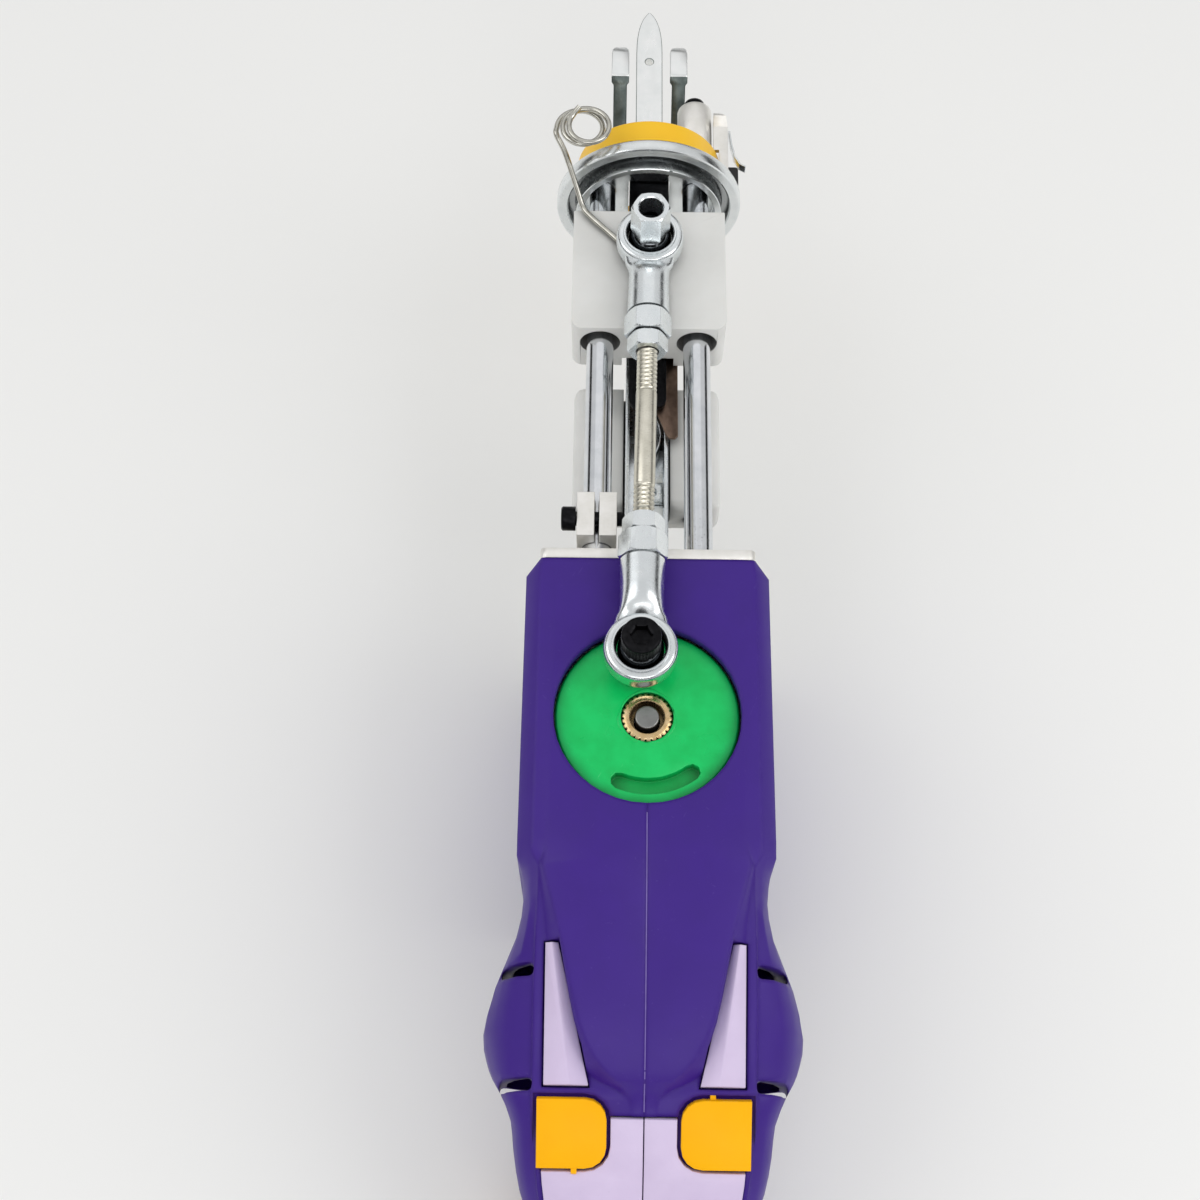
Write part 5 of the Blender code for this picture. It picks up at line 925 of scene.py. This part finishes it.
SLOT_HALF = 7.8
SLOT_HEIGHT = 4.0
RECESS_RADIUS = 5.9
RECESS_DEPTH = 12.0
SLIT_HALF = 0.65
NEEDLE_HALF = 4.2
CHANNEL_HALF = 2.7
CHANNEL_END = 229.5
YARN_HOLE_Y = 227.4
YARN_HOLE_RADIUS = 1.3
BOSS_START = 189.6


def slider_and_clamp():
    """The milled nylon block with its square front, and the slit clamp on the left rod."""
    low, high = box_mm("slider_block")
    cutters = [box_form((-SLOT_HALF, low.y - 1, low.z - 1), (SLOT_HALF, high.y + 1, low.z + SLOT_HEIGHT))]
    for x in (-GUIDE_X, GUIDE_X):
        cutters.append(bar_form((x, low.y - 1, GUIDE_Z), FORWARD, GUIDE_RADIUS + 0.2, high.y - low.y + 2))
        cutters.append(bar_form((x, low.y - 1, GUIDE_Z), FORWARD, RECESS_RADIUS, RECESS_DEPTH))
    cutters.append(bar_form((0, FRONT_EYE.y, high.z - 10), UP, STUD_RADIUS + 0.15, 11))
    block = extruded(rounded_plan(low, high, 3.2, 0.4), low.z, high.z)
    add_piece("slider_block_milled", carved(block, cutters), "slider_block", ("slider_block",), None, 0.5, 40)
    low, high = box_mm("rod_clamp")
    screw = (low.x - 1, low.y + 0.45 * (high.y - low.y), high.z - 2.2)
    cutters = [bar_form((-GUIDE_X, low.y - 1, GUIDE_Z), FORWARD, GUIDE_RADIUS + 0.05, high.y - low.y + 2),
               box_form((-GUIDE_X - SLIT_HALF, low.y - 1, GUIDE_Z),
                        (-GUIDE_X + SLIT_HALF, high.y + 1, high.z + 1)),
               bar_form(screw, (1, 0, 0), 1.98, 14)]
    clamp = carved(box_form(low, high), cutters)
    add_piece("rod_clamp_sawn", clamp, "rod_clamp", ("rod_clamp",), None, 0.3, 40)


def needle_and_boss():
    """The hollow needle with its arched point, and the boss with its cap."""
    low, high = box_mm("needle")
    # Distance back from the point, and half width
    arch = ((0.0, 0.25), (1.0, 1.05), (2.5, 1.95), (4.0, 2.55), (6.0, 3.15), (8.0, 3.55), (10.5, 3.9),
            (13.5, 4.12), (17.0, NEEDLE_HALF))
    right = [(half, high.y - back) for back, half in arch]
    outline = [(NEEDLE_HALF, low.y)] + right[::-1] + [(-x, y) for x, y in right] + [(-NEEDLE_HALF, low.y)]
    cutters = [box_form((-CHANNEL_HALF, low.y - 1, low.z - 1), (CHANNEL_HALF, CHANNEL_END, high.z - 1.3)),
               bar_form((0, YARN_HOLE_Y, low.z - 1), UP, YARN_HOLE_RADIUS, high.z - low.z + 2, 32)]
    hollow = carved(extruded(outline, low.z, high.z), cutters)
    needle = add_piece("needle_hollow", hollow, "needle", ("needle",), None, 0.55, 50, "pale_zinc")
    # Bevelled edges take a grey zinc: painted shade and reflection along the needle's rounded borders.
    needle.data.materials.append(finishes["shaded_edge_zinc"])
    needle.modifiers["broken_edges"].material = 1
    rows = [(0, 4.2), (0, 5.1), (0.3, 5.4), (16.2, 5.4), (17.0, 5.15), (17.45, 4.5), (17.5, 3.6)]
    add_piece("rod_boss_turned", ringed(rows, 64), "rod_boss", ("rod_boss",),
              facing((GUIDE_X, BOSS_START, GUIDE_Z), FORWARD), 0, 50, "aluminium")
    low, high = box_mm("boss_cap")
    tall = high.y - low.y
    rows = [(0, 3.3), (tall * 0.45, 3.3), (tall * 0.7, 3.05), (tall * 0.88, 2.4), (tall * 0.98, 1.3),
            (tall, 0.3)]
    add_piece("boss_cap_domed", ringed(rows, 48), "boss_cap", ("boss_cap",),
              facing((GUIDE_X, low.y, GUIDE_Z), FORWARD), 0, 60)


# Housing

SEAM_START = -27.5
SEAM_STEP = 1.2
# Where the screws sit on the housing's left half, along Y and up Z
HOUSING_SCREWS = ((-26, 14), (34, 14), (34, 60), (-112, 24))
# A height over all of the machine, to look down from
ABOVE = 300


def close_seam(shape):
    """Brings the two halves to a hairline of each other along the middle."""
    for vert in shape.verts:
        if abs(vert.co.x) < 0.2 * MM:
            vert.co.x *= 0.05


def swell(shape, amount=0.38):
    """Fills the pocket's gap all round, as the press-fitted insert does."""
    shape.normal_update()
    moves = [(vert, vert.normal * amount * MM) for vert in shape.verts]
    for vert, move in moves:
        if abs(vert.co.x) < 0.5 * MM:
            move.x = 0
        vert.co += move


def swell_wedge(shape):
    swell(shape, 0.6)


def height_at(node, x, y):
    """The height of a node's top above a place in millimetres, or None beside it."""
    hit, spot = frame["nodes"][node].ray_cast(Vector((x, y, ABOVE)) * MM, Vector((0, 0, -1)))[:2]
    return spot.z / MM if hit else None


def seam_flash():
    """The fine line of paler plastic that stands at the seam, from the wheel to the rear panels."""
    end = box_mm("rear_panel_left")[1].y + 0.6
    shape = bmesh.new()
    loops = []
    y = SEAM_START
    while y > end:
        top = height_at("housing_left", -0.6, y)
        if top is not None:
            loops.append(add_loop(shape, [(-0.15, y, top - 0.5), (0.15, y, top - 0.5), (0.15, y, top + 0.03),
                                          (-0.15, y, top + 0.03)]))
        y -= SEAM_STEP
    add_piece("housing_seam_flash", skinned(shape, loops), "housing_left", (), None, 0, 60, "seam_plastic")


def tab_gates():
    """The nubs of yellow plastic that the cut gates have left on the corner tabs."""
    for side, share, at_front in (("left", 0.54, False), ("right", 0.45, True)):
        node = "corner_tab_" + side
        low, high = box_mm(node)
        x = low.x + share * (high.x - low.x)
        edge, inward = (high.y, -1.0) if at_front else (low.y, 1.0)
        z = height_at(node, x, edge + inward * 1.5)
        if z is not None:
            near, far = sorted((edge + inward * 1.5, edge - inward * 1.1))
            add_piece("corner_tab_gate_" + side, box_form((x - 0.75, near, z - 2.6), (x + 0.75, far, z - 0.9)),
                      node, (), None, 0.2, 40)


def small_screws():
    """Screws on sides that the photograph doesn't show: through the plate and the housing's left half."""
    low, high = box_mm("front_plate")
    for side, x in (("left", -24.5), ("right", 24.5)):
        for height in (low.z + 7, high.z - 7):
            button_screw(f"plate_screw_{side}_{int(height)}", (x, high.y, height), FORWARD, "front_plate")
    housing = frame["nodes"]["housing_left"]
    for k, (y, z) in enumerate(HOUSING_SCREWS):
        hit, spot, normal = housing.ray_cast(Vector((-0.1, y * MM, z * MM)), Vector((1, 0, 0)))[:3]
        if hit:
            button_screw("housing_screw_" + str(k + 1), spot / MM - normal * 0.05, normal, "housing_left")


bpy.context.scene.view_settings.view_transform = "Standard"
set_camera()
set_world()
set_lamps()
set_stage()
finishes = make_finishes()
# The nodes that a piece already stands for
shown = set()

rod_ends()
threaded_stud()
crank_fasteners()
wheel_pieces()
slider_fasteners()
yarn_guide_wire()
ring_pieces()
slider_and_clamp()
needle_and_boss()
small_screws()
fork_with_shaded_arms()
tab_gates()
seam_flash()
for rod, radius in (("guide_rod_", GUIDE_RADIUS), ("lower_rod_", LOWER_ROD_RADIUS)):
    for side in ("left", "right"):
        plain_rod(rod + side, radius)
changes = {"housing_left": close_seam, "housing_right": close_seam, "crank_wheel": fill_opening,
           "wedge_insert_left": swell_wedge, "wedge_insert_right": swell_wedge, "rear_panel_left": swell,
           "rear_panel_right": swell}
for node in sorted(set(frame["nodes"]) - shown):
    dress(node, change=changes.get(node), harden="housing" not in node)
